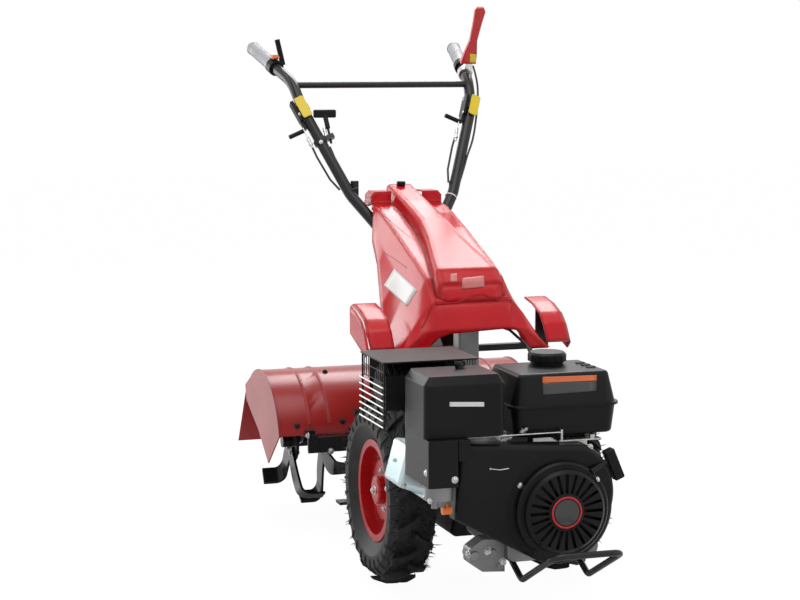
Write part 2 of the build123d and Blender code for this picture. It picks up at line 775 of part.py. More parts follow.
# Hood and fenders
# Shares of the hood's length, of its height over the ridge, of the shoulder width, then of the foot
# width and of the height over the foot, for the waist and for the lower edge.
hood_stations = [
    (0.0, -0.03, 1.0, 0.68, 0.25, 1.0, 0.0),
    (0.105, 0.19, 1.0, 0.665, 0.31, 0.994, 0.0),
    (0.238, 0.33, 1.0, 0.65, 0.39, 0.966, 0.0),
    (0.352, 0.43, 1.0, 0.64, 0.47, 0.882, 0.25),
    (0.562, 0.626, 0.99, 0.63, 0.607, 0.736, 0.515),
    (0.733, 0.767, 0.98, 0.596, 0.736, 0.646, 0.656),
    (0.829, 0.835, 0.975, 0.535, 0.885, 0.545, 0.868),
    (1.0, 0.893, 0.96, 0.515, 0.915, 0.52, 0.9),
]
# Shares of the hood's length, hump width, height over the ridge.
hump_stations = [
    (0.0, 1.8, 0.0),
    (0.02, 2.3, 0.165),
    (0.07, 2.25, 0.3),
    (0.18, 1.95, 0.41),
    (0.35, 1.4, 0.585),
    (0.52, 1.08, 0.755),
    (0.75, 1.0, 0.91),
    (1.0, 1.0, 1.065),
]


def hood_section(y, half, inset):
    """Closed outline across the hood from half of its points, drawn in by a wall thickness."""
    points = [(x - inset, z - inset) for x, z in half]
    points[-1] = (points[-1][0], points[-1][1] - inset)
    points += [(-x, z) for x, z in reversed(points)]
    return Wire.make_polygon([(x, y, z) for x, z in points], close=True)


def hood_body(inset, ends):
    """Loft of the hood without its hump."""
    rows = [(hood_front_y + inset, [(84, 562), (122, 556), (hood_foot_width, hood_foot_z + 4)])]
    for along, up, shoulder, waist, waist_up, foot, foot_up in hood_stations:
        shoulder_z = blend(hood_ridge_z, hood_rear_z, up)
        half = [(shoulder * hood_shoulder_width, shoulder_z)]
        half += [(waist * hood_foot_width, blend(hood_foot_z, hood_rear_z, waist_up))]
        half += [(foot * hood_foot_width, blend(hood_foot_z, hood_rear_z, foot_up))]
        rows.append((blend(hood_ridge_y, hood_rear_y, along), half))
    rows[-1] = (rows[-1][0] + ends, rows[-1][1])
    return Solid.make_loft([hood_section(y, half, inset) for y, half in rows], ruled=True)


def hood_hump(inset, ends):
    """Loft of the hump along the middle of the hood, from its nose to the rear."""
    sections = []
    for along, wide, up in hump_stations:
        y = blend(hood_ridge_y, hood_rear_y, along)
        y += inset if along == 0 else ends if along == 1 else 0
        width = wide * hood_hump_width
        top = blend(hood_ridge_z, hood_rear_z, up)
        half = [(width - 7, top), (width, top - 5), (width + 6, top - 3 * hood_hump_rise)]
        sections.append(hood_section(y, half, inset))
    return Solid.make_loft(sections, ruled=True)


def hood_rim(inset, ends):
    """Raised rim beside the hump at the rear of the hood."""
    outer = 0.97 * hood_shoulder_width - inset
    inner = hood_hump_width * 1.2 - inset
    top = hood_rear_z - inset
    low = hood_rear_z - 2 * hood_rim_rise
    outline = [(inner, low), (inner, top), (outer - 9, top), (outer, top - 10), (outer, low)]
    block_y = hood_rear_y - hood_rim_length + inset
    return slab_y(outline, block_y, hood_rear_y + ends)


def handle_swing():
    """Room that both handle tubes take near the hood as the handlebar tilts."""
    tube = pipe(handle_points()[:3], handle_tube_radius + swing_gap, handle_bend)
    hinge = Pos(0, pivot_y, pivot_z)
    steps = 5
    swept = []
    for number in range(steps + 1):
        angle = blend(handle_tilt_low, handle_tilt_high, number / steps)
        turned = hinge * Rot(angle, 0, 0) * hinge.inverse() * tube
        swept += [turned, mirrored(turned)]
    return swept


def hood():
    """Thin shell over the clutch and the steering column, with an arch at its front."""
    outer = hood_body(0, 0) + hood_hump(0, 0)
    inner = hood_body(sheet_wall, 1) + hood_hump(sheet_wall, 1)
    for side in (hood_rim(0, 0), mirrored(hood_rim(0, 0))):
        outer += side
    for side in (hood_rim(sheet_wall, 1), mirrored(hood_rim(sheet_wall, 1))):
        inner += side
    left, right, top = arch_left_x, arch_right_x, arch_top_z
    foot = hood_foot_z - 20
    arch = [(left - 14, foot), (left, top - 26), (left + 20, top - 8), (left + 46, top),
            (right - 44, top + 6)]
    arch += [(right - 16, top + 2), (right, top - 14), (right + 22, foot)]
    shell = outer - inner - slab_y(arch, hood_front_y - 20, stay_beam_y - stay_beam_width)
    for tube in handle_swing():
        shell -= tube
    return shell.solids().sort_by(SortBy.VOLUME)[-1]


def fender_outline(inset):
    """Side view of a fender, drawn in by a wall thickness and then open below."""
    front, rear, low, top = fender_front_y, fender_rear_y, fender_bottom_z, fender_top_z
    length = rear - front
    height = top - low
    drop = fender_open_depth if inset else 0
    outline = [(front + 0.16 * length + inset, low - drop), (front + inset, low + 0.2 * height)]
    outline += [(front + 0.17 * length + inset, low + 0.55 * height - inset)]
    outline += [(front + 0.36 * length, low + 0.76 * height - inset),
                (front + 0.68 * length, low + 0.92 * height - inset)]
    outline += [(rear + 2 * inset, top - inset), (rear + 2 * inset, low + 0.36 * height - drop)]
    return outline


def fender():
    """Short guard in front of the left wheel's top, open below, behind and towards the hood."""
    shell = slab_x(fender_outline(0), fender_inner_x, fender_outer_x)
    edges = [e for e in shell.faces().sort_by(Axis.X)[-1].edges() if (e @ 0.5).Z > fender_bottom_z + 30]
    shell = fillet([e for e in edges if (e @ 0.5).Y < fender_rear_y - 1], fender_round)
    return shell - slab_x(fender_outline(sheet_wall), fender_inner_x - 1, fender_outer_x - sheet_wall)


def hood_stay():
    """Cross beam on the gearbox that carries the hood and the fenders."""
    end_x = blend(fender_inner_x, fender_outer_x, 0.55)
    y0 = stay_beam_y - stay_beam_width / 2
    y1 = stay_beam_y + stay_beam_width / 2
    top = hood_foot_z - seat_gap
    low = top - stay_beam_height
    beam = block(-end_x, end_x, y0, y1, low, top)
    near = column_half_width + seat_gap
    post = block(near, near + stay_beam_width, y0, y1, gearbox_top_z, low)
    room = slab_x(fender_outline(sheet_wall), fender_inner_x + 2, end_x)
    tab = Pos(0, 0, -seat_gap) * (room & block(fender_inner_x, end_x, y0, y0 + 4, top, fender_top_z + 10))
    tab += block(fender_inner_x + 2, end_x, y0, y0 + 4, top - 2, top + 4)
    return beam + post + mirrored(post) + tab + mirrored(tab)


def hood_knob():
    """Dark knob that holds the rear of the hood."""
    y = hood_rear_y - hood_rim_length * 0.2
    share = (y - blend(hood_ridge_y, hood_rear_y, 0.75)) / (0.25 * (hood_rear_y - hood_ridge_y))
    top = blend(hood_ridge_z, hood_rear_z, blend(hump_stations[-2][2], hump_stations[-1][2], share))
    knob = Cylinder(11, 9, align=(Align.CENTER, Align.CENTER, Align.MIN))
    return Pos(0, y, top + seat_gap + 1) * chamfer(knob.edges().sort_by(Axis.Z)[-1], 2)


def column():
    """Steering column from the gearbox up to the handlebar pivot."""
    top = gearbox_top_z
    front, rear = column_foot_front_y, column_foot_rear_y
    outline = [(front, top), (rear, top), (rear, top + column_foot_height)]
    outline += [(rear - column_foot_step, top + column_foot_height + 2)]
    outline += [(pivot_y + 22, pivot_z - 34), (pivot_y + 26, pivot_z + 10), (pivot_y, pivot_z + 26)]
    outline += [(pivot_y - 24, pivot_z + 6), (0, top + 60), (front, top + column_foot_height)]
    body = slab_x(outline, -column_half_width, column_half_width)
    bore = pivot_tube_radius + shaft_gap
    return body - rod((-30, pivot_y, pivot_z), (30, pivot_y, pivot_z), bore)


def selector_box(post):
    """Selector housing that stands on the column inside the hood's arch."""
    half = column_half_width
    box = block(-half - 7, half - 7, 6, 46, gearbox_top_z + 90, arch_top_z + 6)
    return fillet(box.edges().filter_by(Axis.Z), 4) - post


def engine_cables(bell, post, stay):
    """Three control cables from the column down to the clutch housing."""
    cables = []
    for number in range(3):
        off = number * 2.4 * cable_radius
        x = column_half_width + cable_radius
        points = [(x, 250 - off, 615), (x + off, 130, 580 - off), (86 + off, 30, 560 - off),
                  (116 + off, -30, 522 - off)]
        points += [(126 + off, -90, 455), (95 + off, -150 - off, 385), (50 + off, -205, 310)]
        cables.append(pipe(points, cable_radius, 22))
    return group(*cables) - bell - post - stay


# Handlebar
def handle_points():
    """Points of the left handle tube, from its root to its end."""
    return [(handle_root_x, pivot_y, pivot_z), handle_elbow, handle_plate, handle_brace, handle_end]


def at_side(point, side):
    """The point on the left side or the right side of the machine."""
    x, y, z = point
    return (side * x, y, z)


def handle_frame():
    """Both handle tubes on the cross tube that turns in the column."""
    frame = pipe(handle_points(), handle_tube_radius, handle_bend)
    frame += mirrored(frame)
    end = handle_root_x
    return frame + rod((-end, pivot_y, pivot_z), (end, pivot_y, pivot_z), pivot_tube_radius)


def crossbar(frame):
    """Round bar between the two handle tubes."""
    x, y, z = handle_brace
    drop = crossbar_radius * 0.75
    return rod((-x, y - drop, z - drop), (x, y - drop, z - drop), crossbar_radius) - frame


def grip_axis():
    """Direction of the left grip."""
    return (Vector(*handle_end) - Vector(*handle_brace)).normalized()


def grips(frame):
    """Hand grips over the ends of the tubes, with a collar at each end."""
    far = Vector(*handle_end)
    along = grip_axis()
    near = far - along * grip_length
    grip = rod(tuple(near), tuple(far + along * 5), grip_radius)
    grip += rod(tuple(near), tuple(near + along * 6), grip_radius + 3)
    grip += rod(tuple(far - along), tuple(far + along * 5), grip_radius + 1.5)
    return both_sides(grip - frame)


def tube_place(side, share):
    """Frame on a handle tube between the elbow and the yellow plate, Z along the tube, X across."""
    low = Vector(*at_side(handle_elbow, side))
    high = Vector(*at_side(handle_plate, side))
    along = (high - low).normalized()
    return Plane(origin=low + (high - low) * share, x_dir=(1, 0, -along.X / along.Z), z_dir=along)


def lever_brackets(frame):
    """Black catch brackets clamped to the tubes beside the yellow plates."""
    made = []
    radius = handle_tube_radius
    depth = 2 * radius
    for side in (-1, 1):
        place = tube_place(side, 1)
        ring = Cylinder(radius + clamp_wall, lever_plate_length * 0.3)
        plate = Pos(-radius - bracket_wall, 2, 0) * Box(2 * bracket_wall, depth, lever_plate_length)
        pin_hold = Pos(-radius - bracket_wall, 2, -lever_plate_length * 0.62) * Box(2 * bracket_wall,
                                                                                    depth * 0.6, 30)
        made.append(place * (ring + plate + pin_hold) - frame)
    return group(*made)


def lever_plates():
    """Blank yellow plates on the front of the handle tubes."""
    made = []
    for side in (-1, 1):
        place = tube_place(side, 1)
        plate = Box(lever_plate_width, 3, lever_plate_length)
        plate = fillet(plate.edges().filter_by(Axis.Y), 5)
        made.append(place * (Pos(0, -handle_tube_radius - clamp_wall - 1.5 - seat_gap, 0) * plate))
    return group(*made)


def hand_levers():
    """Black lever pins that stick out beside the tubes under the brackets."""
    made = []
    for side in (-1, 1):
        place = tube_place(side, 1)
        x = -handle_tube_radius - 2 * bracket_wall
        pin = Rot(0, -90, 0) * Cylinder(lever_pin_radius, 42, align=(Align.CENTER, Align.CENTER, Align.MIN))
        pin = fillet(pin.edges().sort_by(Axis.X)[0], 2)
        made.append(place * (Pos(x, 2, -lever_plate_length * 0.9) * pin))
    return group(*made)


def lever_cables(frame):
    """Cables with bright ends from the brackets down the tubes into the hood."""
    made = []
    off = handle_tube_radius + cable_radius
    for side in (-1, 1):
        points = []
        for share, out, ahead in ((0.72, -off - 6, 4), (0.5, -off - 10, 4), (0.24, -off - 8, 6),
                                  (0.1, -off, 4)):
            points.append(tuple((tube_place(side, share) * Pos(out, ahead, 0)).position))
        made.append(pipe(points, cable_radius, 20) - frame)
    return group(*made)


def gear_handle():
    """T shaped pull handle with its rod, held beside the right tube."""
    hold = tube_place(-1, 0.62)
    base = (hold * Pos(handle_tube_radius + 12, -2, 0)).position
    x, y, z = handle_plate
    top = Vector(-x + handle_tube_radius + 38, y - 16, z - 10)
    along = (top - base).normalized()
    made = rod(tuple(base - along * 16), tuple(top - along * 8), 3)
    made += rod(tuple(top - along * 40), tuple(top - along * 4), 6)
    bar = fillet(Box(56, 16, 20).edges(), 4)
    return made + Pos(*top) * bar


def gear_bracket(frame):
    """Clamp that guides the gear rod on the right tube."""
    hold = tube_place(-1, 0.62)
    ring = Cylinder(handle_tube_radius + clamp_wall, 12)
    arm = Pos(handle_tube_radius + 10, -2, 0) * Box(24, 16, 12)
    return hold * (ring + arm) - frame


def control_clusters(frame):
    """Black collars next to the grips, with the thumb lever on the right one."""
    along = grip_axis()
    near = Vector(*handle_end) - along * (grip_length + 1)
    collar = rod(tuple(near - along * 24), tuple(near), handle_tube_radius + 6)
    right = mirrored(collar)
    base = Vector(*at_side(tuple(near - along * 12), -1))
    lever_base = base + Vector(handle_tube_radius + 8, 0, 6)
    lever_top = lever_base + Vector(-16, -6, 62)
    lever = rod(tuple(base), tuple(lever_base), 6)
    lever += Plane(origin=(lever_base + lever_top) / 2, x_dir=(1, 0, 0),
                   z_dir=lever_top - lever_base) * Box(12, 7, 66)
    return group(collar - frame, right + lever - frame)


def stop_switch():
    """Red rocker on the right collar."""
    along = grip_axis()
    near = Vector(*handle_end) - along * (grip_length + 13)
    place = Plane(origin=at_side(tuple(near), -1), x_dir=at_side(tuple(along), -1), z_dir=(0, 0, 1))
    rocker = Pos(0, 0, handle_tube_radius + 9 + seat_gap) * Box(20, 14, 8)
    return place * fillet(rocker.edges(), 2)


def clutch_lever():
    """Red paddle lever that stands over the left tube."""
    lean = radians(paddle_lean + 8)
    along = Vector(0.05, -sin(lean), cos(lean)).normalized()
    foot = paddle_foot()
    wide = paddle_width
    length = paddle_length
    profile = [(-0.8 * wide, 0), (0.8 * wide, 0), (0.7 * wide, 0.16 * length), (0.38 * wide, 0.42 * length)]
    profile += [(0.45 * wide, 0.75 * length), (0.54 * wide, 0.93 * length), (0.3 * wide, length)]
    outline = profile + [(-x, y) for x, y in reversed(profile[2:])]
    face = make_face(Polyline(*outline, close=True))
    place = Plane(origin=foot, x_dir=(1, 0, 0), z_dir=Vector(1, 0, 0).cross(along))
    paddle = extrude(face, paddle_wall / 2, both=True)
    return place * fillet(paddle.edges().filter_by(GeomType.LINE).group_by(Axis.Z)[-1], 2.5)


def paddle_foot():
    """Where the red lever leaves its clamp."""
    near = Vector(*handle_end) - grip_axis() * (grip_length + 64)
    return near + Vector(8, -2, handle_tube_radius + clamp_wall + 8)


def lever_clamp(frame):
    """Bright clamp that carries the red lever on the left tube."""
    along = grip_axis()
    near = Vector(*handle_end) - along * (grip_length + 64)
    ring = rod(tuple(near - along * 12), tuple(near + along * 12), handle_tube_radius + clamp_wall)
    foot = paddle_foot()
    arm = block(foot.X - 10, foot.X + 10, foot.Y - 8, foot.Y + 8, near.Z, foot.Z - 1)
    return ring + arm - frame


def lock_post(frame):
    """Short post at the bend of the right tube."""
    x, y, z = at_side(handle_elbow, -1)
    return rod((x + 14, y + 12, z - 6), (x + 14, y + 12, z + 34), 10) - frame


# Tiller
def arc_point(radius, angle):
    """Point (y, z) round the rotor axis, the angle counted from the rear upwards."""
    return (rotor_y + radius * cos(radians(angle)), rotor_z + radius * sin(radians(angle)))


def arc_edge(radius, start, end):
    """Arc round the rotor axis in the plane x = 0."""
    points = [(0, *arc_point(radius, angle)) for angle in (start, (start + end) / 2, end)]
    return ThreePointArc(*points)


def lip():
    """Rear edge (y, z) of the tiller hood, straight on from its arc."""
    y, z = arc_point(tiller_hood_radius, tiller_hood_end)
    lean = radians(tiller_lip_angle)
    return (y + tiller_lip_length * cos(lean), z - tiller_lip_length * sin(lean))


def tiller_gearcase():
    """Chain case down the middle of the tiller."""
    reach = tine_radius / 3
    front = rotor_y - tine_radius - 8
    half = gearcase_half_width
    outline = [(front, rotor_z - 0.6 * reach), (rotor_y - 2 * reach, rotor_z - 0.85 * reach)]
    outline += [(rotor_y - 0.4 * reach, rotor_z - reach), (rotor_y + 0.6 * reach, rotor_z - 0.85 * reach)]
    outline += [(rotor_y + reach, rotor_z), (rotor_y + 0.8 * reach, rotor_z + 1.1 * reach)]
    outline += [(rotor_y - 0.4 * reach, rotor_z + 2.2 * reach), (rotor_y - 2 * reach, rotor_z + 1.8 * reach)]
    outline += [(front, rotor_z + 0.8 * reach)]
    body = slab_x(outline, -half, half)
    body = fillet(body.edges().filter_by(lambda e: abs((e % 0.5).X) < 0.01), 3)
    cap = rotor_shaft_radius + 2 * cover_wall
    for side in (-1, 1):
        body += rod((side * half, rotor_y, rotor_z), (side * (half + cover_wall), rotor_y, rotor_z), cap)
    bore = rotor_shaft_radius + shaft_gap
    body -= rod((-half - 20, rotor_y, rotor_z), (half + 20, rotor_y, rotor_z), bore)
    return body - drive_tube()


def tiller_hood():
    """Curved sheet with pressed ribs over the tines and a leaf shaped plate at each end."""
    half = tiller_half_width
    start, end, radius, wall = tiller_hood_start, tiller_hood_end, tiller_hood_radius, tiller_wall
    lean = radians(tiller_lip_angle)
    tip = lip()
    under = (tip[0] - wall * sin(lean), tip[1] - wall * cos(lean))
    outline = arc_edge(radius, start, end) + Line((0, *arc_point(radius, end)), (0, *tip))
    outline += Line((0, *tip), (0, *under)) + Line((0, *under), (0, *arc_point(radius - wall, end)))
    outline += arc_edge(radius - wall, end, start)
    outline += Line((0, *arc_point(radius - wall, start)), (0, *arc_point(radius, start)))
    sheet = Pos(-half, 0, 0) * extrude(make_face(outline), 2 * half, dir=(1, 0, 0))
    for place in rib_places:
        path = arc_edge(radius - 0.25 * rib_radius, start - 8, end + 14)
        rib = sweep(Plane(origin=path @ 0, z_dir=path % 0) * Circle(rib_radius), path=path)
        sheet += Pos(place, 0, 0) * rib
        sheet += Pos(-place, 0, 0) * rib
    depth = leaf_depth
    low = [tip, (tip[0] - 0.35 * depth, tip[1] - depth), (rotor_y + 0.7 * depth, rotor_z + 0.7 * depth)]
    low += [(rotor_y - 1.8 * depth, rotor_z - depth), arc_point(radius + 2, start)]
    leaf = arc_edge(radius + 2, start, end) + Line((0, *arc_point(radius + 2, end)), (0, *low[0]))
    for first, second in zip(low, low[1:]):
        leaf += Line((0, *first), (0, *second))
    plate = Pos(half, 0, 0) * extrude(make_face(leaf), wall, dir=(1, 0, 0))
    return sheet + plate + mirrored(plate)


def tiller_beam():
    """Black beam under the front edge of the tiller hood, with its end brackets."""
    y, z = arc_point(tiller_hood_radius, tiller_hood_start)
    low_y = y - tiller_beam_depth - 2
    top = z - 1
    half = tiller_beam_half_width
    height = tiller_beam_height
    beam = block(-half, half, low_y, low_y + tiller_beam_depth, top - height, top)
    for side in (-1, 1):
        for place in (0.55, 0.98):
            x = side * half * place
            beam += block(x - 12, x + 12, low_y - 4, low_y, top - height, top + 0.2 * height)
            beam += block(x - 12, x + 12, low_y + 18, y + 1, top - 1, top + 14)
    return beam - drive_tube() - tiller_gearcase() - tiller_hood()


def depth_skid():
    """Runner under the middle of the tiller that the parked machine stands on."""
    wall = skid_wall
    rise = 7 * wall
    front, rear = rotor_y - tine_radius + 8, rotor_y + 0.68 * tine_radius
    flat0, flat1 = rotor_y - 0.39 * tine_radius, rotor_y + 0.36 * tine_radius
    runner = [(front, rise), (blend(front, flat0, 0.35), 0.42 * rise), (flat0, 0), (flat1, 0),
              (rear, 0.38 * rise)]
    runner += [(rear - 2, 0.38 * rise + wall), (flat1 - 2, wall), (flat0 + 2, wall)]
    runner += [(blend(front, flat0, 0.35) + 0.9 * wall, 0.42 * rise + 0.9 * wall),
               (front + 0.9 * wall, rise + 0.7 * wall)]
    foot = slab_x(runner, -skid_half_width, skid_half_width)
    top = rotor_z - tine_radius / 4
    web = slab_x([(flat0, wall), (flat1 - wall, wall), (rotor_y + 30, top), (rotor_y - 32, top)], -7, 7)
    hole_z = blend(wall, top, 0.45)
    web -= rod((-10, rotor_y, hole_z), (10, rotor_y, hole_z), skid_wall)
    return foot + web - tiller_gearcase()


def flange_x(number):
    """Distance of a tine flange from the middle of the machine."""
    return flange_first_x + number * flange_spacing


def rotor_shaft():
    """Round shaft with the flanges that carry the tines."""
    end = flange_x(flange_count - 1) + rotor_flange_wall + 20
    shaft = rod((-end, rotor_y, rotor_z), (end, rotor_y, rotor_z), rotor_shaft_radius)
    for number in range(flange_count):
        for side in (-1, 1):
            x = side * flange_x(number)
            near = (x - rotor_flange_wall / 2, rotor_y, rotor_z)
            shaft += rod(near, (x + rotor_flange_wall / 2, rotor_y, rotor_z), rotor_flange_radius)
    return shaft


def tine():
    """One scimitar blade on the axis of the rotor, its foot curved over towards +X."""
    reach = tine_radius
    wall = tine_wall
    bend = tine_bend
    inner = bend - wall
    foot = tine_foot_length
    root = rotor_shaft_radius + 6
    strip = Line((0, 0, root), (0, 0, reach - bend))
    strip += ThreePointArc((0, 0, reach - bend),
                           (bend - bend * cos(pi / 4), 0, reach - bend + bend * sin(pi / 4)),
                           (bend, 0, reach))
    strip += Line((bend, 0, reach), (foot, 0, reach)) + Line((foot, 0, reach), (foot, 0, reach - wall))
    strip += Line((foot, 0, reach - wall), (bend, 0, reach - wall))
    strip += ThreePointArc((bend, 0, reach - wall),
                           (bend - inner * cos(pi / 4), 0, reach - bend + inner * sin(pi / 4)),
                           (wall, 0, reach - bend))
    strip += Line((wall, 0, reach - bend), (wall, 0, root)) + Line((wall, 0, root), (0, 0, root))
    bent = extrude(make_face(strip), 2 * tine_width, dir=(0, 1, 0), both=True)
    half = tine_root_width / 2
    wide = tine_width
    lead = ThreePointArc((0, -half, root), (0, -half - 0.1 * wide, 0.6 * reach), (0, wide * 0.75, reach + 1))
    trail = ThreePointArc((0, wide * 1.75, reach + 1), (0, wide * 0.95, 0.62 * reach), (0, half, root))
    side = lead + Line((0, wide * 0.75, reach + 1), (0, wide * 1.75, reach + 1)) + trail
    side += Line((0, half, root), (0, -half, root))
    return bent & (Pos(-1, 0, 0) * extrude(make_face(side), foot + 2, dir=(1, 0, 0)))


def rotor_tines():
    """Blades on both faces of every flange, their feet crossing over the flange."""
    blades = []
    half = rotor_flange_wall / 2
    step = 180 / tines_per_face
    for number in range(flange_count):
        for face in (-1, 1):
            for index in range(tines_per_face):
                angle = 2 * step * index + step * (face + 1) / 2 + flange_turn * number
                blade = tine() if face < 0 else mirror(tine(), about=Plane.YZ)
                x = flange_x(number) + face * half
                lift = face * tine_wall
                blades.append(Pos(x + lift, rotor_y, rotor_z) * (Rot(angle, 0, 0) * blade))
    return both_sides(group(*blades))


def rear_flap():
    """Levelling flap hinged to the rear edge of the tiller hood."""
    half = tiller_half_width - 2
    lean = radians(flap_angle)
    wall = tiller_wall
    tip = lip()
    hinge = (tip[0] + 0.8 * hinge_radius, tip[1] - 0.75 * hinge_radius)
    end = (hinge[0] + flap_length * sin(lean), hinge[1] - flap_length * cos(lean))
    out = (cos(lean) * wall, sin(lean) * wall)
    outline = [hinge, end, (end[0] + out[0], end[1] + out[1]), (hinge[0] + out[0], hinge[1] + out[1])]
    plate = slab_x(outline, -half, half)
    return plate + rod((-half, *hinge), (half, *hinge), hinge_radius)


def build():
    """Every node by name."""
    frame = handle_frame()
    bell = bell_housing()
    post = column()
    stay = hood_stay()
    cover = rocker_cover()
    cleaner = air_cleaner()
    hose = breather_hose(cover, cleaner)
    saddle = tank_bracket()
    scroll = fan_cover()
    shell = hood()
    rubber = grips(frame)
    clusters = control_clusters(frame)
    clamp = lever_clamp(frame)
    pull = gear_handle()
    nodes = {
        "gearbox": gearbox(),
        "bell_housing": bell,
        "drive_tube": drive_tube(),
        "engine_block": engine_block(),
        "engine_mount": engine_mount(),
        "rocker_cover": cover,
        "fan_cover": scroll,
        "recoil_starter": recoil_starter(),
        "recoil_grip": recoil_grip(scroll),
        "fuel_tank": fuel_tank(),
        "fuel_cap": fuel_cap(),
        "tank_bracket": saddle,
        "air_cleaner": cleaner,
        "carburettor": carburettor() - hose,
        "float_bowl": float_bowl(),
        "fuel_tap": fuel_tap(),
        "throttle_link": throttle_link() - saddle,
        "breather_hose": hose,
        "muffler": muffler(cover),
        "muffler_shield": muffler_shield(),
        "muffler_guard": muffler_guard(),
        "guard_bars": guard_bars(),
        "front_bumper": front_bumper(),
        "hood": shell,
        "hood_knob": hood_knob() - shell,
        "fenders": both_sides(fender()),
        "hood_stay": stay,
        "steering_column": post,
        "selector_box": selector_box(post),
        "engine_cables": engine_cables(bell, post, stay) - shell,
        "tiller_gearcase": tiller_gearcase(),
        "tiller_hood": tiller_hood(),
        "tiller_beam": tiller_beam(),
        "depth_skid": depth_skid(),
        "handle_frame": frame,
        "handle_crossbar": crossbar(frame),
        "handle_grips": rubber,
        "lever_brackets": lever_brackets(frame),
        "lever_plates": lever_plates(),
        "hand_levers": hand_levers(),
        "lever_cables": lever_cables(frame),
        "gear_handle": pull,
        "gear_bracket": gear_bracket(frame) - pull,
        "control_clusters": clusters,
        "stop_switch": stop_switch() - clusters - rubber,
        "clutch_lever": clutch_lever() - clamp,
        "lever_clamp": clamp,
        "lock_post": lock_post(frame),
        "rotor_shaft": rotor_shaft(),
        "rotor_tines": rotor_tines(),
        "rear_flap": rear_flap(),
    }
    for name, shape in (("tyre", tyre()), ("rim", rim()), ("hub", hub())):
        nodes[f"wheel_left_{name}"] = shape
        nodes[f"wheel_right_{name}"] = mirrored(shape)
    return nodes


pieces = build()
whole = Compound([solid for shape in pieces.values() for solid in shape.solids()]).bounding_box()
middle_y = (whole.min.Y + whole.max.Y) / 2
middle_x = (whole.min.X + whole.max.X) / 2
shift = Pos(-middle_x, -middle_y, -whole.min.Z)
for name, shape in pieces.items():
    export_step(shift * shape, f"parts/{name}.step")
print("size", whole.size)
print("moved by", -middle_x, -middle_y, -whole.min.Z)
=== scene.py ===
import json
import math
import random

import bmesh
import bpy
from mathutils import Matrix, Quaternion, Vector
from mathutils.bvhtree import BVHTree


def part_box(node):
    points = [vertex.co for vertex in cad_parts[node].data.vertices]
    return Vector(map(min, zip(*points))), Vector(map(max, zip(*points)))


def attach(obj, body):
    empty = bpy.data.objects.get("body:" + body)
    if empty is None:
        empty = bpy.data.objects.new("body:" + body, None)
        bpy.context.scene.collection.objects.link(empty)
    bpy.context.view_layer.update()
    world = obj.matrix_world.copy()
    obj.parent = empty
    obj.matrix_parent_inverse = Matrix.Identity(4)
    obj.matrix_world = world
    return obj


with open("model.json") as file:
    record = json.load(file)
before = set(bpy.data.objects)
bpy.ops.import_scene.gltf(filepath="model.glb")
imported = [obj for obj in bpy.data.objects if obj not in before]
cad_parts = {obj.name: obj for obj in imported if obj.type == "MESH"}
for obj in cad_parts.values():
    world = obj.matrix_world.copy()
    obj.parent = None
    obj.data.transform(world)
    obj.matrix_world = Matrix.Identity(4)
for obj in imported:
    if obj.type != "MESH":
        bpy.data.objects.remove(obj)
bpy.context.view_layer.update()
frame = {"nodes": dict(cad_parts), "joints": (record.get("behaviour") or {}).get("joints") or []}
axleY = frame["joints"][1]["pos_m"][1]  # everything along the machine is placed from the wheel axle
print("frame loaded")

# Camera at the angle of the photograph
view = {
    "place": (-1.519, axleY - 4.148, 1.181),  # metres
    "turn": 18.0,  # degrees to the right of straight back
    "down": 7.2,  # degrees below level
    "lens": 90.0,  # millimetres
    "film": 36.0,  # millimetres
    "picture": (800, 600),
    "reach": 4.4,  # metres from the camera to about the middle of the machine
}
cameraData = bpy.data.cameras.new("camera")
cameraData.lens = view["lens"]
cameraData.sensor_width = view["film"]
cameraObject = bpy.data.objects.new("camera", cameraData)
cameraObject.location = view["place"]
cameraObject.rotation_euler = (math.radians(90 - view["down"]), 0, math.radians(-view["turn"]))
bpy.context.scene.collection.objects.link(cameraObject)
bpy.context.scene.camera = cameraObject
bpy.context.view_layer.update()


# Rays from the camera through a place in the photograph
def rayThrough(u, v):
    wide, high = view["picture"]
    long = wide * view["lens"] / view["film"]
    toward = Vector(((u - wide / 2) / long, (high / 2 - v) / long, -1))
    return cameraObject.location.copy(), (cameraObject.matrix_world.to_3x3() @ toward).normalized()


trees = {}


def treeOf(node):
    if node not in trees:
        mesh = frame["nodes"][node].data
        trees[node] = BVHTree.FromPolygons([v.co for v in mesh.vertices], [p.vertices for p in mesh.polygons])
    return trees[node]


def firstHit(start, toward, nodes):
    best = None
    for node in nodes:
        place, normal, _, away = treeOf(node).ray_cast(start, toward)
        if place is not None and (best is None or away < best[2]):
            best = (place, normal if normal.dot(toward) < 0 else -normal, away)
    return best


def onPhoto(u, v, *nodes):
    start, toward = rayThrough(u, v)
    hit = firstHit(start, toward, nodes)
    if hit is None:  # just beside the piece: its nearest point is taken
        around = [treeOf(node).find_nearest(start + toward * view["reach"]) for node in nodes]
        return min(around, key=lambda near: near[3])[:2]
    return hit[0], hit[1]


def onPlane(u, v, point, normal):
    start, toward = rayThrough(u, v)
    normal = Vector(normal)
    return start + toward * ((Vector(point) - start).dot(normal) / toward.dot(normal))


reliefDepth = 0.0004  # metres from the low to the high of a skin's grain


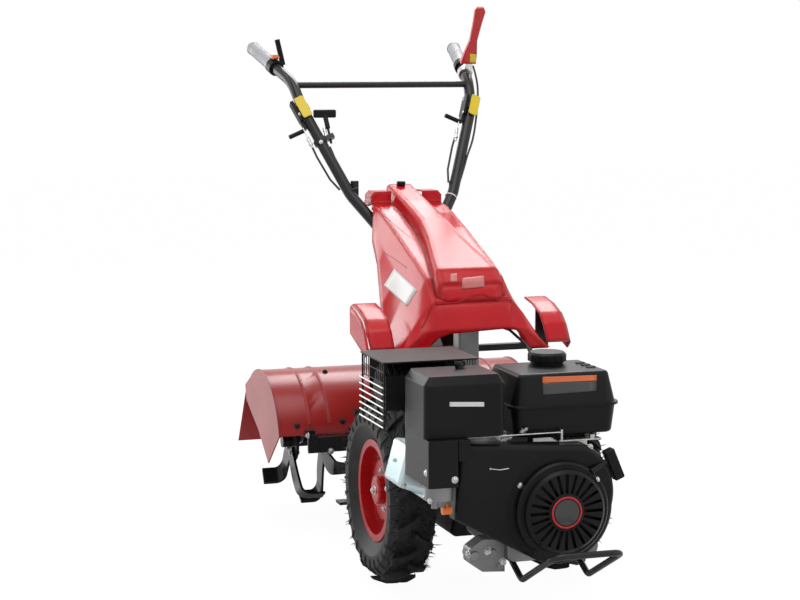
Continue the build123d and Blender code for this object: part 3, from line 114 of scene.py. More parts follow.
# Materials. In a look, colour and second are mixed in patches, worn is the tone of rubbed edges and rub how
# far it goes, shine is the specular level, uneven the spread of roughness and round the soft edge in metres.
# Patch and grain are the scales of the two noises, and relief is the strength of the grain.
def surface(name, look):
    material = bpy.data.materials.new(name)
    material.use_nodes = True
    nodes = material.node_tree.nodes
    links = material.node_tree.links
    shader = nodes["Principled BSDF"]
    shader.inputs["Metallic"].default_value = look.get("metal", 0)
    shader.inputs["Specular IOR Level"].default_value = look.get("shine", 0.5)
    place = nodes.new("ShaderNodeTexCoord")
    patches = nodes.new("ShaderNodeTexNoise")  # broad, quiet change of tone
    patches.inputs["Scale"].default_value = look.get("patch", 9)
    patches.inputs["Detail"].default_value = 5
    grain = nodes.new("ShaderNodeTexNoise")  # the skin of the paint, casting or plastic
    grain.inputs["Scale"].default_value = look.get("grain", 700)
    grain.inputs["Detail"].default_value = 3
    links.new(place.outputs["Object"], patches.inputs["Vector"])
    links.new(place.outputs["Object"], grain.inputs["Vector"])
    tone = nodes.new("ShaderNodeMix")
    tone.data_type = "RGBA"
    tone.inputs["A"].default_value = (*look["colour"], 1)
    tone.inputs["B"].default_value = (*look["second"], 1)
    spread = nodes.new("ShaderNodeMapRange")
    spread.inputs["From Min"].default_value = 0.38
    spread.inputs["From Max"].default_value = 0.68
    links.new(patches.outputs["Fac"], spread.inputs["Value"])
    links.new(spread.outputs["Result"], tone.inputs["Factor"])
    colour = tone.outputs["Result"]
    rounded = nodes.new("ShaderNodeBevel")
    rounded.samples = look.get("roundSamples", 4)
    rounded.inputs["Radius"].default_value = look.get("round", 0.0012)
    if "worn" in look:  # edges rubbed lighter
        facing = nodes.new("ShaderNodeNewGeometry")
        turned = nodes.new("ShaderNodeVectorMath")
        turned.operation = "DOT_PRODUCT"
        links.new(rounded.outputs["Normal"], turned.inputs[0])
        links.new(facing.outputs["Normal"], turned.inputs[1])
        rubbed = nodes.new("ShaderNodeMapRange")
        rubbed.inputs["From Min"].default_value = 0.995
        rubbed.inputs["From Max"].default_value = 0.8
        rubbed.inputs["To Max"].default_value = look.get("rub", 0.6)
        links.new(turned.outputs["Value"], rubbed.inputs["Value"])
        broken = nodes.new("ShaderNodeMath")
        broken.operation = "MULTIPLY"
        links.new(rubbed.outputs["Result"], broken.inputs[0])
        links.new(spread.outputs["Result"], broken.inputs[1])
        edges = nodes.new("ShaderNodeMix")
        edges.data_type = "RGBA"
        edges.inputs["B"].default_value = (*look["worn"], 1)
        links.new(broken.outputs["Value"], edges.inputs["Factor"])
        links.new(colour, edges.inputs["A"])
        colour = edges.outputs["Result"]
    links.new(colour, shader.inputs["Base Color"])
    rough = nodes.new("ShaderNodeMapRange")
    rough.inputs["To Min"].default_value = look["rough"] - look.get("uneven", 0.05)
    rough.inputs["To Max"].default_value = look["rough"] + look.get("uneven", 0.05)
    links.new(patches.outputs["Fac"], rough.inputs["Value"])
    links.new(rough.outputs["Result"], shader.inputs["Roughness"])
    relief = nodes.new("ShaderNodeBump")
    relief.inputs["Strength"].default_value = look.get("relief", 0.15)
    relief.inputs["Distance"].default_value = reliefDepth
    links.new(grain.outputs["Fac"], relief.inputs["Height"])
    links.new(rounded.outputs["Normal"], relief.inputs["Normal"])
    links.new(relief.outputs["Normal"], shader.inputs["Normal"])
    return material


looks = {
    "blackCasting": {"colour": (0.013, 0.013, 0.014), "second": (0.026, 0.026, 0.028), "rough": 0.45,
                     "relief": 0.5, "grain": 420, "worn": (0.09, 0.09, 0.09), "shine": 0.2},
    "greyCasting": {"colour": (0.25, 0.252, 0.25), "second": (0.15, 0.152, 0.155), "rough": 0.4, "metal": 0.7,
                    "relief": 0.55, "grain": 480, "worn": (0.5, 0.5, 0.5), "uneven": 0.1, "round": 0.003},
    "coverPaint": {"colour": (0.60, 0.71, 0.73), "second": (0.50, 0.63, 0.66), "rough": 0.22, "metal": 0.75,
                   "relief": 0.12, "worn": (0.75, 0.8, 0.8), "round": 0.005},
    "satinPlastic": {"colour": (0.006, 0.006, 0.007), "second": (0.010, 0.010, 0.011), "rough": 0.33,
                     "relief": 0.22, "grain": 1500, "shine": 0.16, "round": 0.0035},
    "tubeBlack": {"colour": (0.012, 0.012, 0.013), "second": (0.02, 0.02, 0.021), "rough": 0.27,
                  "relief": 0.2, "grain": 900, "shine": 0.3, "worn": (0.05, 0.05, 0.05)},
    "silencerBlack": {"colour": (0.009, 0.009, 0.009), "second": (0.017, 0.016, 0.016), "rough": 0.42,
                      "relief": 0.3, "grain": 800, "worn": (0.14, 0.14, 0.14), "patch": 24, "shine": 0.2},
    "hoodRed": {"colour": (0.60, 0.006, 0.013), "second": (0.54, 0.005, 0.010), "rough": 0.2, "shine": 0.3,
                "relief": 0.04, "grain": 260, "round": 0.013, "uneven": 0.03, "roundSamples": 10},
    # painted shade: dark red laid along the pressed creases of the hood
    "hoodCreaseShade": {"colour": (0.16, 0.004, 0.006), "second": (0.12, 0.003, 0.004), "rough": 0.35, "shine": 0.2,
                "round": 0.0004},
    "guardRed": {"colour": (0.37, 0.02, 0.018), "second": (0.31, 0.015, 0.014), "rough": 0.25, "shine": 0.35,
                 "relief": 0.14, "grain": 500, "worn": (0.42, 0.07, 0.06), "rub": 0.4, "round": 0.003},
    "rimRed": {"colour": (0.47, 0.008, 0.012), "second": (0.40, 0.007, 0.01), "rough": 0.28, "shine": 0.3,
               "relief": 0.12, "round": 0.003},
    "zinc": {"colour": (0.62, 0.62, 0.6), "second": (0.45, 0.45, 0.43), "rough": 0.28, "metal": 1.0,
             "relief": 0.25, "grain": 1600, "patch": 60, "uneven": 0.1, "round": 0.0005},
    "tyreRubber": {"colour": (0.011, 0.011, 0.011), "second": (0.024, 0.024, 0.023), "rough": 0.5,
                   "relief": 0.6, "grain": 520, "worn": (0.045, 0.045, 0.042), "rub": 0.8, "patch": 20,
                   "shine": 0.2, "round": 0.003},
    "gripRubber": {"colour": (0.52, 0.53, 0.55), "second": (0.45, 0.46, 0.48), "rough": 0.42, "relief": 0.03,
                   "grain": 150, "patch": 20, "round": 0.0006},
    "leverRed": {"colour": (0.60, 0.008, 0.016), "second": (0.52, 0.006, 0.012), "rough": 0.32,
                 "relief": 0.12, "round": 0.002},
    "tapOrange": {"colour": (0.78, 0.17, 0.015), "second": (0.65, 0.12, 0.01), "rough": 0.35, "relief": 0.1},
    "plateYellow": {"colour": (0.80, 0.60, 0.03), "second": (0.74, 0.54, 0.025), "rough": 0.38,
                    "relief": 0.08},
    "sheathBlack": {"colour": (0.01, 0.01, 0.01), "second": (0.018, 0.018, 0.018), "rough": 0.35,
                    "relief": 0.15, "shine": 0.4, "round": 0.0004},
    "tieWhite": {"colour": (0.72, 0.72, 0.7), "second": (0.62, 0.62, 0.6), "rough": 0.4, "round": 0.0003},
    "labelPale": {"colour": (0.80, 0.80, 0.79), "second": (0.74, 0.74, 0.73), "rough": 0.3, "round": 0.0002},
    "labelRose": {"colour": (0.66, 0.20, 0.19), "second": (0.62, 0.17, 0.16), "rough": 0.3, "round": 0.0002},
    "labelOrange": {"colour": (0.75, 0.17, 0.05), "second": (0.68, 0.14, 0.04), "rough": 0.3,
                    "round": 0.0002},
    "labelDark": {"colour": (0.05, 0.05, 0.052), "second": (0.04, 0.04, 0.042), "rough": 0.25,
                  "round": 0.0002},
}
paint = {name: surface(name, look) for name, look in looks.items()}
print("materials ready", len(paint))

finishes = {
    "blackCasting": ["gearbox", "drive_tube", "steering_column", "tiller_gearcase"],
    "greyCasting": ["bell_housing", "engine_block", "engine_mount", "float_bowl", "selector_box"],
    "coverPaint": ["rocker_cover"],
    "satinPlastic": ["fan_cover", "recoil_starter", "recoil_grip", "fuel_tank", "fuel_cap", "tank_bracket",
                     "air_cleaner", "carburettor", "hood_knob", "lever_brackets", "hand_levers",
                     "gear_handle", "control_clusters"],
    "silencerBlack": ["muffler", "muffler_shield", "muffler_guard"],
    "tubeBlack": ["front_bumper", "hood_stay", "handle_frame", "handle_crossbar", "gear_bracket", "lock_post",
                  "tiller_beam", "depth_skid", "rotor_shaft", "rotor_tines"],
    "hoodRed": ["hood", "fenders"],
    "guardRed": ["tiller_hood", "rear_flap"],
    "rimRed": ["wheel_left_rim", "wheel_right_rim", "wheel_left_hub", "wheel_right_hub"],
    "zinc": ["guard_bars", "lever_clamp", "throttle_link"],
    "tyreRubber": ["wheel_left_tyre", "wheel_right_tyre"],
    "gripRubber": ["handle_grips"],
    "leverRed": ["clutch_lever", "stop_switch"],
    "tapOrange": ["fuel_tap"],
    "plateYellow": ["lever_plates"],
    "sheathBlack": ["breather_hose", "engine_cables", "lever_cables"],
}
for finish, nodeNames in finishes.items():
    for nodeName in nodeNames:
        mesh = frame["nodes"][nodeName].data
        mesh.materials.clear()
        mesh.materials.append(paint[finish])
print("nodes painted")


seat = 0.0004  # metres that a fastener is sunk into what it sits on


# Making pieces
def placeOn(point, normal, turn=0.0, sink=0.0):
    normal = Vector(normal).normalized()
    spin = Matrix.Rotation(turn, 4, "Z")
    aim = normal.to_track_quat("Z", "Y").to_matrix().to_4x4()
    return Matrix.Translation(Vector(point) - normal * sink) @ aim @ spin


def lathe(bm, profile, place, steps=24):
    rings = []
    for radius, height in profile:
        if radius < 1e-7:
            rings.append([bm.verts.new(place @ Vector((0, 0, height)))])
            continue
        angles = [2 * math.pi * k / steps for k in range(steps)]
        rings.append([bm.verts.new(place @ Vector((radius * math.cos(a), radius * math.sin(a), height)))
                      for a in angles])
    for low, high in zip(rings, rings[1:]):
        for k in range(steps):
            corners = [low[k % len(low)], low[(k + 1) % len(low)], high[(k + 1) % len(high)],
                       high[k % len(high)]]
            corners = list(dict.fromkeys(corners))
            if len(corners) > 2:
                bm.faces.new(corners)


def addPiece(name, bm, finish, body, sharp=38):
    bmesh.ops.recalc_face_normals(bm, faces=bm.faces)
    mesh = bpy.data.meshes.new(name)
    bm.to_mesh(mesh)
    bm.free()
    mesh.shade_smooth()
    mesh.set_sharp_from_angle(angle=math.radians(sharp))
    mesh.materials.append(paint[finish])
    piece = bpy.data.objects.new(name, mesh)
    bpy.context.scene.collection.objects.link(piece)
    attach(piece, body)
    return piece


def addTube(name, points, radius, finish, body):
    curve = bpy.data.curves.new(name, "CURVE")
    curve.dimensions = "3D"
    curve.bevel_depth = radius
    curve.bevel_resolution = 4
    curve.resolution_u = 10
    curve.use_fill_caps = True
    line = curve.splines.new("NURBS")
    line.points.add(len(points) - 1)
    for knot, point in zip(line.points, points):
        knot.co = (*point, 1)
    line.order_u = 3
    line.use_endpoint_u = True
    curve.materials.append(paint[finish])
    piece = bpy.data.objects.new(name, curve)
    bpy.context.scene.collection.objects.link(piece)
    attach(piece, body)
    return piece


def hexBolt(bm, place, size):
    washer = [(0, 0), (1.2 * size, 0), (1.25 * size, 0.08 * size), (1.2 * size, 0.22 * size),
              (0, 0.22 * size)]
    lathe(bm, washer, place)
    head = [(0.9 * size, 0.2 * size), (0.95 * size, 0.3 * size), (0.95 * size, 0.75 * size)]
    lathe(bm, head + [(0.8 * size, 0.88 * size), (0.45 * size, 0.88 * size)], place, 6)
    stud = [(0.46 * size, 0.8 * size), (0.46 * size, 1.05 * size), (0.38 * size, 1.15 * size),
            (0, 1.15 * size)]
    lathe(bm, stud, place)


def crossScrew(bm, place, size):
    washer = [(0, 0), (1.35 * size, 0), (1.4 * size, 0.12 * size), (1.3 * size, 0.25 * size),
              (0, 0.25 * size)]
    lathe(bm, washer, place)
    dome = [(size, 0.2 * size), (size, 0.45 * size), (0.85 * size, 0.7 * size), (0.5 * size, 0.86 * size)]
    lathe(bm, dome + [(0.22 * size, 0.9 * size), (0.16 * size, 0.55 * size), (0, 0.5 * size)], place)


def fasteners(name, kind, spots, nodes, size, finish, body):
    bm = bmesh.new()
    for number, (u, v) in enumerate(spots):
        point, normal = onPhoto(u, v, *nodes)
        kind(bm, placeOn(point, normal, 0.4 * number, seat), size)
    return addPiece(name, bm, finish, body)


# Patch that lies on a surface, drawn by its four corners in the photograph
def patch(name, corners, nodes, finish, body="chassis", lift=0.0005):
    first, second, third, fourth = [Vector(c) for c in corners]
    steps = 9
    bm = bmesh.new()
    grid = []
    for row in range(steps):
        down = row / (steps - 1)
        for column in range(steps):
            across = column / (steps - 1)
            spot = first.lerp(second, across).lerp(fourth.lerp(third, across), down)
            point, normal = onPhoto(spot.x, spot.y, *nodes)
            grid.append(bm.verts.new(point + normal * lift))
    for row in range(steps - 1):
        for column in range(steps - 1):
            k = row * steps + column
            bm.faces.new([grid[k], grid[k + 1], grid[k + steps + 1], grid[k + steps]])
    piece = addPiece(name, bm, finish, body, 60)
    thick = piece.modifiers.new("thick", "SOLIDIFY")
    thick.thickness = lift * 1.6
    thick.offset = 0
    return piece


# A pressed line that follows a surface
def bead(name, spots, nodes, radius, finish, sink=0.3):
    points = []
    between = 5
    for (u0, v0), (u1, v1) in zip(spots, spots[1:]):
        for k in range(between):
            share = k / between
            points.append(onPhoto(u0 + (u1 - u0) * share, v0 + (v1 - v0) * share, *nodes))
    points.append(onPhoto(*spots[-1], *nodes))
    line = [point - normal * radius * sink for point, normal in points]
    return addTube(name, line, radius, finish, "chassis")


# Engine fasteners: kind, places in the photograph, pieces they sit on, and half width in metres
engineScrews = {
    "choke_screws": (crossScrew, [(426, 473), (455, 480)], ["carburettor"], 0.0052),
    "fan_cover_screws": (crossScrew, [(520, 485.5), (598, 479)], ["fan_cover", "recoil_starter"], 0.0042),
    "bowl_screws": (hexBolt, [(430, 501)], ["float_bowl", "fuel_tap"], 0.005),
    "mount_bolts": (hexBolt, [(469, 554), (488, 551), (502.4, 562)], ["engine_mount", "engine_block"], 0.007),
    "bracket_bolt": (hexBolt, [(590, 447)], ["fan_cover", "tank_bracket"], 0.006),
    "rocker_bolts": (hexBolt, [(420, 458), (404, 486), (418, 440), (395, 460)], ["rocker_cover"], 0.0048),
}
for screwName, (kind, spots, nodes, size) in engineScrews.items():
    fasteners(screwName, kind, spots, nodes, size, "zinc", "chassis")
print("engine screws done")

# Recoil starter: ring and plain boss
recoil = {
    "ringOuter": 0.0325,  # metres, radius
    "ringInner": 0.0285,
    "lift": 0.0012,  # how far the ring stands up
    "bossHigh": 0.0013,
    "bossEdge": 0.003,  # width of the boss's slope
    "arm": [(591, 472), (605, 462)],  # ends in the photograph
    "armRadius": 0.006,
    "armBow": 0.004,
}
low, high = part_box("recoil_starter")
discCentre = Vector(((low.x + high.x) / 2, low.y, (low.z + high.z) / 2))
ahead = Vector((0, -1, 0))
bm = bmesh.new()
outer, inner, lift = recoil["ringOuter"], recoil["ringInner"], recoil["lift"]
lathe(bm, [(inner, -lift), (inner, lift), (inner + 0.0006, lift * 1.5), (outer - 0.0006, lift * 1.5),
           (outer, lift), (outer, -lift), (inner, -lift)], placeOn(discCentre, ahead, 0, lift), 64)
addPiece("starter_ring", bm, "leverRed", "chassis")
bm = bmesh.new()
bossHigh = recoil["bossHigh"]
boss = [(0, 0), (inner, 0), (inner, 0.0007), (inner - recoil["bossEdge"], bossHigh), (0, bossHigh)]
lathe(bm, boss, placeOn(discCentre, ahead, 0, lift), 64)
addPiece("starter_boss", bm, "labelDark", "chassis")

# Arm between the starter and its handle
armEnds = [onPhoto(u, v, "recoil_starter", "fan_cover", "recoil_grip")[0] for u, v in recoil["arm"]]
armPath = [armEnds[0], armEnds[0].lerp(armEnds[1], 0.5) + ahead * recoil["armBow"], armEnds[1]]
addTube("starter_arm", armPath, recoil["armRadius"], "satinPlastic", "chassis")

# Air cleaner: wing nut and its stud
wingNut = {
    "spot": (460, 368),  # in the photograph
    "radius": 0.0075,  # metres
    "height": 0.009,
    "wing": (0.0066, 0.0021, 0.0072),  # half length, thickness and height of one wing
}
point, normal = onPhoto(*wingNut["spot"], "air_cleaner")
place = placeOn(point, Vector((0, 0, 1)), 0.5, 0.0005)
bm = bmesh.new()
radius, height = wingNut["radius"], wingNut["height"]
lathe(bm, [(0, 0), (radius * 1.5, 0), (radius * 1.5, 0.0015), (radius, 0.002), (radius * 0.8, height),
           (radius * 0.5, height + 0.001), (0.0035, height), (0.0035, height + 0.004),
           (0, height + 0.0045)], place)
for side in (-1, 1):
    wing = bmesh.ops.create_icosphere(bm, subdivisions=3, radius=1)["verts"]
    long, thick, tall = wingNut["wing"]
    spot = Matrix.Translation((side * radius * 1.35, 0, height * 0.95))
    shape = place @ spot @ Matrix.Rotation(side * 0.5, 4, "Y")
    bmesh.ops.transform(bm, matrix=shape @ Matrix.Diagonal((long, thick, tall, 1)), verts=wing)
addPiece("cleaner_wing_nut", bm, "satinPlastic", "chassis")


# Springs of the throttle linkage
def spring(name, start, end, radius, wire, turns):
    start, end = Vector(start), Vector(end)
    aim = (end - start).to_track_quat("Z", "Y").to_matrix()
    points = [start]
    perTurn = 8
    count = turns * perTurn
    for k in range(count + 1):
        angle = 2 * math.pi * k / perTurn
        along = 0.12 + 0.76 * k / count  # straight hooks before and after the coil
        around = aim @ Vector((radius * math.cos(angle), radius * math.sin(angle), 0))
        points.append(start + (end - start) * along + around)
    points.append(end)
    return addTube(name, points, wire, "zinc", "chassis")


linkage = {
    "springs": [((499, 441), (513, 437)), ((520, 433), (528, 428))],  # ends in the photograph
    "coil": 0.0038,  # metres, radius
    "wire": 0.0008,
    "turns": 7,
    "depth": 0.006,  # behind the front of the link
    "nut": [(523, 431)],
    "nutSize": 0.005,
}
low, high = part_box("throttle_link")
linkFront = (0, low.y + linkage["depth"], 0)
for number, spots in enumerate(linkage["springs"]):
    start, end = [onPlane(u, v, linkFront, (0, 1, 0)) for u, v in spots]
    spring(f"throttle_spring_{number + 1}", start, end, linkage["coil"], linkage["wire"], linkage["turns"])
fasteners("throttle_nut", hexBolt, linkage["nut"], ["throttle_link", "fuel_tank", "engine_block"],
          linkage["nutSize"], "zinc", "chassis")

# Louvre lines of the fan cover round the starter
louvres = {
    "radii": (0.103, 0.109, 0.115),  # metres from the middle of the starter
    "from": 108,  # degrees
    "to": 236,
    "steps": 22,
    "thick": 0.0013,
    "before": 0.1,  # where the search for the cover's face starts
}
for number, radius in enumerate(louvres["radii"]):
    path = []
    for k in range(louvres["steps"] + 1):
        turn = math.radians(louvres["from"] + (louvres["to"] - louvres["from"]) * k / louvres["steps"])
        start = discCentre + Vector((radius * math.cos(turn), -louvres["before"], radius * math.sin(turn)))
        hit = firstHit(start, -ahead, ["fan_cover"])
        if hit:
            path.append(hit[0] - hit[1] * louvres["thick"] * 0.4)
    addTube(f"fan_cover_louvre_{number + 1}", path, louvres["thick"], "satinPlastic", "chassis")


# What a ray from the side meets, at a place given along and above the axle
def sideHit(side, y, z, nodes):
    return firstHit(Vector((side * outside, axleY + y, z)), Vector((-side, 0, 0)), nodes)


def sideBolts(name, side, spots, nodes, size):
    bm = bmesh.new()
    for number, (y, z) in enumerate(spots):
        hit = sideHit(side, y, z, nodes)
        if hit:
            hexBolt(bm, placeOn(hit[0], hit[1], 0.5 * number, seat), size)
    return addPiece(name, bm, "zinc", "chassis")


outside = 0.6  # metres from the middle plane, clear of the whole machine
crankcase = {
    "ends": (-0.474, -0.262),  # metres from the axle, less than nothing being in front of it
    "heights": (0.172, 0.262, 0.352),
    "boltSize": 0.0065,
}
front, rear = crankcase["ends"]
low, middle, high = crankcase["heights"]
caseSpots = [(y, z) for y in (front, rear) for z in (low, middle, high)]
caseSpots += [((front + rear) / 2, z) for z in (low, high)]
sideBolts("crankcase_bolts", 1, caseSpots, ["engine_block"], crankcase["boltSize"])
columnBolts = {"spots": [(0.30, 0.60), (0.335, 0.645), (0.03, 0.485), (0.07, 0.50)], "size": 0.008}
sideBolts("column_bolts_left", 1, columnBolts["spots"], ["steering_column"], columnBolts["size"])
sideBolts("column_bolts_right", -1, columnBolts["spots"], ["steering_column"], columnBolts["size"])

# Raised side cover and oil filler of the crankcase
sideCover = {
    "centre": (-0.36, 0.262),  # along and above the axle, metres
    "radius": 0.066,
    "proud": 0.007,
    "screws": 6,
    "screwCircle": 0.86,  # share of the radius
    "screwSize": 0.0042,
    "filler": (-0.455, 0.222),
    "fillerRadius": 0.014,
    "sink": 0.0005,
}
coverHit = sideHit(1, *sideCover["centre"], ["engine_block"])
bm = bmesh.new()
radius, proud = sideCover["radius"], sideCover["proud"]
plate = [(0, 0), (radius, 0), (radius, proud * 0.6), (radius - 0.004, proud), (radius * 0.72, proud)]
plate += [(radius * 0.68, proud * 0.6), (radius * 0.4, proud * 0.6), (radius * 0.36, proud), (0, proud)]
lathe(bm, plate, placeOn(coverHit[0], (1, 0, 0), 0, sideCover["sink"]), 48)
for k in range(sideCover["screws"]):
    turn = 2 * math.pi * k / sideCover["screws"]
    reach = radius * sideCover["screwCircle"]
    spot = coverHit[0] + Vector((proud - 0.001, reach * math.cos(turn), reach * math.sin(turn)))
    hexBolt(bm, placeOn(spot, (1, 0, 0), turn), sideCover["screwSize"])
addPiece("crankcase_cover", bm, "greyCasting", "chassis")
fillerHit = sideHit(1, *sideCover["filler"], ["engine_block"])
bm = bmesh.new()
radius = sideCover["fillerRadius"]
plug = [(0, 0), (radius * 1.2, 0), (radius * 1.2, 0.003), (radius, 0.004), (radius, 0.012)]
plug += [(radius * 0.85, 0.014), (0, 0.014)]
lathe(bm, plug, placeOn(fillerHit[0], (1, 0, 0), 0, sideCover["sink"]), 10)
addPiece("oil_filler", bm, "satinPlastic", "chassis")
print("engine small parts done")

# Bare labels: corners in the photograph, the piece they lie on, look and slot
labels = {
    "cleaner_label": ([(449.5, 402), (484, 402), (484, 406.5), (449.5, 406.5)], "air_cleaner", "labelPale",
                      "black_plastic"),
    "tank_label_band": ([(542.5, 377), (596.5, 375), (596.5, 380.5), (542.5, 383)], "fuel_tank",
                        "labelOrange", "black_plastic"),
    "tank_label": ([(542.5, 383.4), (596.5, 381), (596, 391), (543, 395)], "fuel_tank", "labelDark",
                   "black_plastic"),
    "hood_label": ([(394.6, 268.6), (417.2, 290), (407, 306.6), (384.4, 285.2)], "hood", "labelPale",
                   "red_paint"),
    "hood_plate_small": ([(450.4, 274.5), (457, 273.6), (457, 281.6), (450.4, 281.8)], "hood", "labelRose",
                         "red_paint"),
    "hood_plate_long": ([(462, 278.4), (484, 276), (484.4, 287), (462, 289)], "hood", "labelRose",
                        "red_paint"),
}
for labelName, (corners, nodeName, finish, slot) in labels.items():
    patch(labelName, corners, [nodeName], finish)
chokeSlot = {
    "end": [(490.5, 469)],  # in the photograph
    "endSize": 0.0016,  # metres
    "line": [(491, 469), (500, 470), (509, 468.5)],
    "radius": 0.0011,
}
fasteners("choke_slot_ends", crossScrew, chokeSlot["end"], ["fan_cover"], chokeSlot["endSize"], "zinc",
          "chassis")
bead("choke_slot", chokeSlot["line"], ["fan_cover"], chokeSlot["radius"], "zinc")

# Pressed lines of the hood
hoodLines = {
    "hood_crease_high": [(379, 211), (394, 224), (403, 232), (415, 240)],
    "hood_crease_low": [(383, 252), (396, 260), (407, 268)],
    "hood_crease_hump": [(393, 209), (402, 216), (410, 224), (420, 232), (429, 238)],
    "hood_nose_line": [(437, 304), (458, 302.5), (471, 295.5), (484, 294), (490, 297.5), (511, 297)],
    "hood_side_line": [(432, 306), (427, 318), (422, 328)],
}
hoodBead = {
    "creaseRadius": 0.0013,  # metres
    "creaseSink": 0.75,  # share of the radius
    "foldRadius": 0.0024,
}
for lineName, spots in hoodLines.items():
    if "crease" in lineName:  # pressed creases, drawn as thin dark beads of painted shade
        bead(lineName, spots, ["hood"], hoodBead["creaseRadius"], "hoodCreaseShade",
             hoodBead["creaseSink"])
    else:
        bead(lineName, spots, ["hood"], hoodBead["foldRadius"], "hoodRed")
print("hood dressed")

# Wheels
wheel = {
    "boltCount": 5,
    "boltCircle": 0.044,  # metres from the axle, as the other reaches
    "nutSize": 0.0065,
    "capNut": 0.0085,
    "outside": 0.4,  # metres from the middle plane, clear of the wheel
    "valve": 0.088,
    "valveTurn": 112,  # degrees up from the rear
    "middle": 0.196,  # metres from the middle plane to the middle of a tyre
    "hairs": 620,
    "hairLength": (0.010, 0.024),
    "hairRadius": 0.001,
    "hairCore": 0.165,  # circle inside the tread that the hairs grow out from
    "hairFloor": -0.82,  # no hairs where the tread faces down more than this
    "hairLean": 2.4,  # how far over the shoulder they go
    "sideBars": 30,
    "barWidth": 0.006,
    "barProud": 0.0028,
    "barFrom": 0.152,
    "barTo": 0.186,
    "barSteps": 6,
    "barBend": 0.05,  # radians from one end to the other
}
axleZ = frame["joints"][1]["pos_m"][2]
chance = random.Random(7)
for side, wheelName in ((1, "wheel_left"), (-1, "wheel_right")):
    wheelNodes = [wheelName + "_rim", wheelName + "_hub", wheelName + "_tyre"]
    axis = Vector((-side, 0, 0))
    bm = bmesh.new()
    for k in range(wheel["boltCount"]):
        turn = 2 * math.pi * (k + 0.3) / wheel["boltCount"]
        away = Vector((0, math.cos(turn), math.sin(turn)))
        start = Vector((side * wheel["outside"], axleY, axleZ)) + away * wheel["boltCircle"]
        point = firstHit(start, axis, wheelNodes)[0]
        hexBolt(bm, placeOn(point, (side, 0, 0), turn, seat), wheel["nutSize"])
    addPiece(wheelName + "_nuts", bm, "zinc", wheelName)
    bm = bmesh.new()
    point = firstHit(Vector((side * wheel["outside"], axleY, axleZ)), axis, wheelNodes)[0]
    hexBolt(bm, placeOn(point, (side, 0, 0), 0.2, seat), wheel["capNut"])
    addPiece(wheelName + "_axle_nut", bm, "zinc", wheelName)
    bm = bmesh.new()
    turn = math.radians(wheel["valveTurn"])
    away = Vector((0, math.cos(turn), math.sin(turn)))
    start = Vector((side * wheel["outside"], axleY, axleZ)) + away * wheel["valve"]
    point = firstHit(start, axis, wheelNodes)[0]
    stem = [(0, 0), (0.006, 0), (0.0055, 0.003), (0.0035, 0.005), (0.0035, 0.018), (0.0042, 0.019),
            (0.0042, 0.026), (0.003, 0.0275), (0, 0.0275)]
    lathe(bm, stem, placeOn(point, (side, 0, 0), 0, 0.0006))
    addPiece(wheelName + "_valve", bm, "sheathBlack", wheelName)
    bm = bmesh.new()
    tyre = treeOf(wheelName + "_tyre")
    middle = side * wheel["middle"]
    for k in range(wheel["hairs"]):
        turn = 2 * math.pi * k / wheel["hairs"] + chance.uniform(-0.02, 0.02)
        away = Vector((0, math.cos(turn), math.sin(turn)))
        if away.z < wheel["hairFloor"]:
            continue
        lean = chance.uniform(-wheel["hairLean"], wheel["hairLean"])
        centre = Vector((middle, axleY, axleZ)) + away * wheel["hairCore"]
        outward = (away + Vector((lean, 0, 0))).normalized()
        point, normal = tyre.ray_cast(centre + outward * 0.3, -outward)[:2]
        if point is None:
            continue
        tip = (normal + Vector((chance.uniform(-0.4, 0.4), 0, chance.uniform(-0.3, 0.3)))).normalized()
        length = chance.uniform(*wheel["hairLength"])
        thin = wheel["hairRadius"]
        lathe(bm, [(thin, 0), (thin * 0.8, length * 0.6), (0, length)], placeOn(point, tip, 0, 0.0008), 4)
    addPiece(wheelName + "_rubber_hairs", bm, "tyreRubber", wheelName)
    bm = bmesh.new()
    for face in (-1, 1):  # low bars on the sidewall, level with the lugs
        for k in range(wheel["sideBars"]):
            turn = 2 * math.pi * k / wheel["sideBars"]
            path = []
            for step in range(wheel["barSteps"] + 1):
                reach = wheel["barFrom"] + (wheel["barTo"] - wheel["barFrom"]) * step / wheel["barSteps"]
                bent = turn + side * wheel["barBend"] * step / wheel["barSteps"]
                spot = Vector((middle + face * 0.2, axleY + reach * math.cos(bent),
                               axleZ + reach * math.sin(bent)))
                point, normal = tyre.ray_cast(spot, Vector((-face, 0, 0)))[:2]
                if point is not None:
                    path.append((point, normal, Vector((0, -math.sin(bent), math.cos(bent)))))
            rows = []
            for step, (point, normal, across) in enumerate(path):
                share = 1 if 0 < step < len(path) - 1 else 0.55
                wide, proud = wheel["barWidth"] / 2 * share, wheel["barProud"] * share
                rows.append([bm.verts.new(point + across * a * wide + normal * b)
                             for a, b in ((-1.5, -0.001), (-0.8, proud), (0.8, proud), (1.5, -0.001))])
            for low, high in zip(rows, rows[1:]):
                for a in range(3):
                    bm.faces.new([low[a], low[a + 1], high[a + 1], high[a]])
            if rows:
                bm.faces.new(rows[0])
                bm.faces.new(rows[-1][::-1])
    addPiece(wheelName + "_side_bars", bm, "tyreRubber", wheelName)
print("wheels dressed")

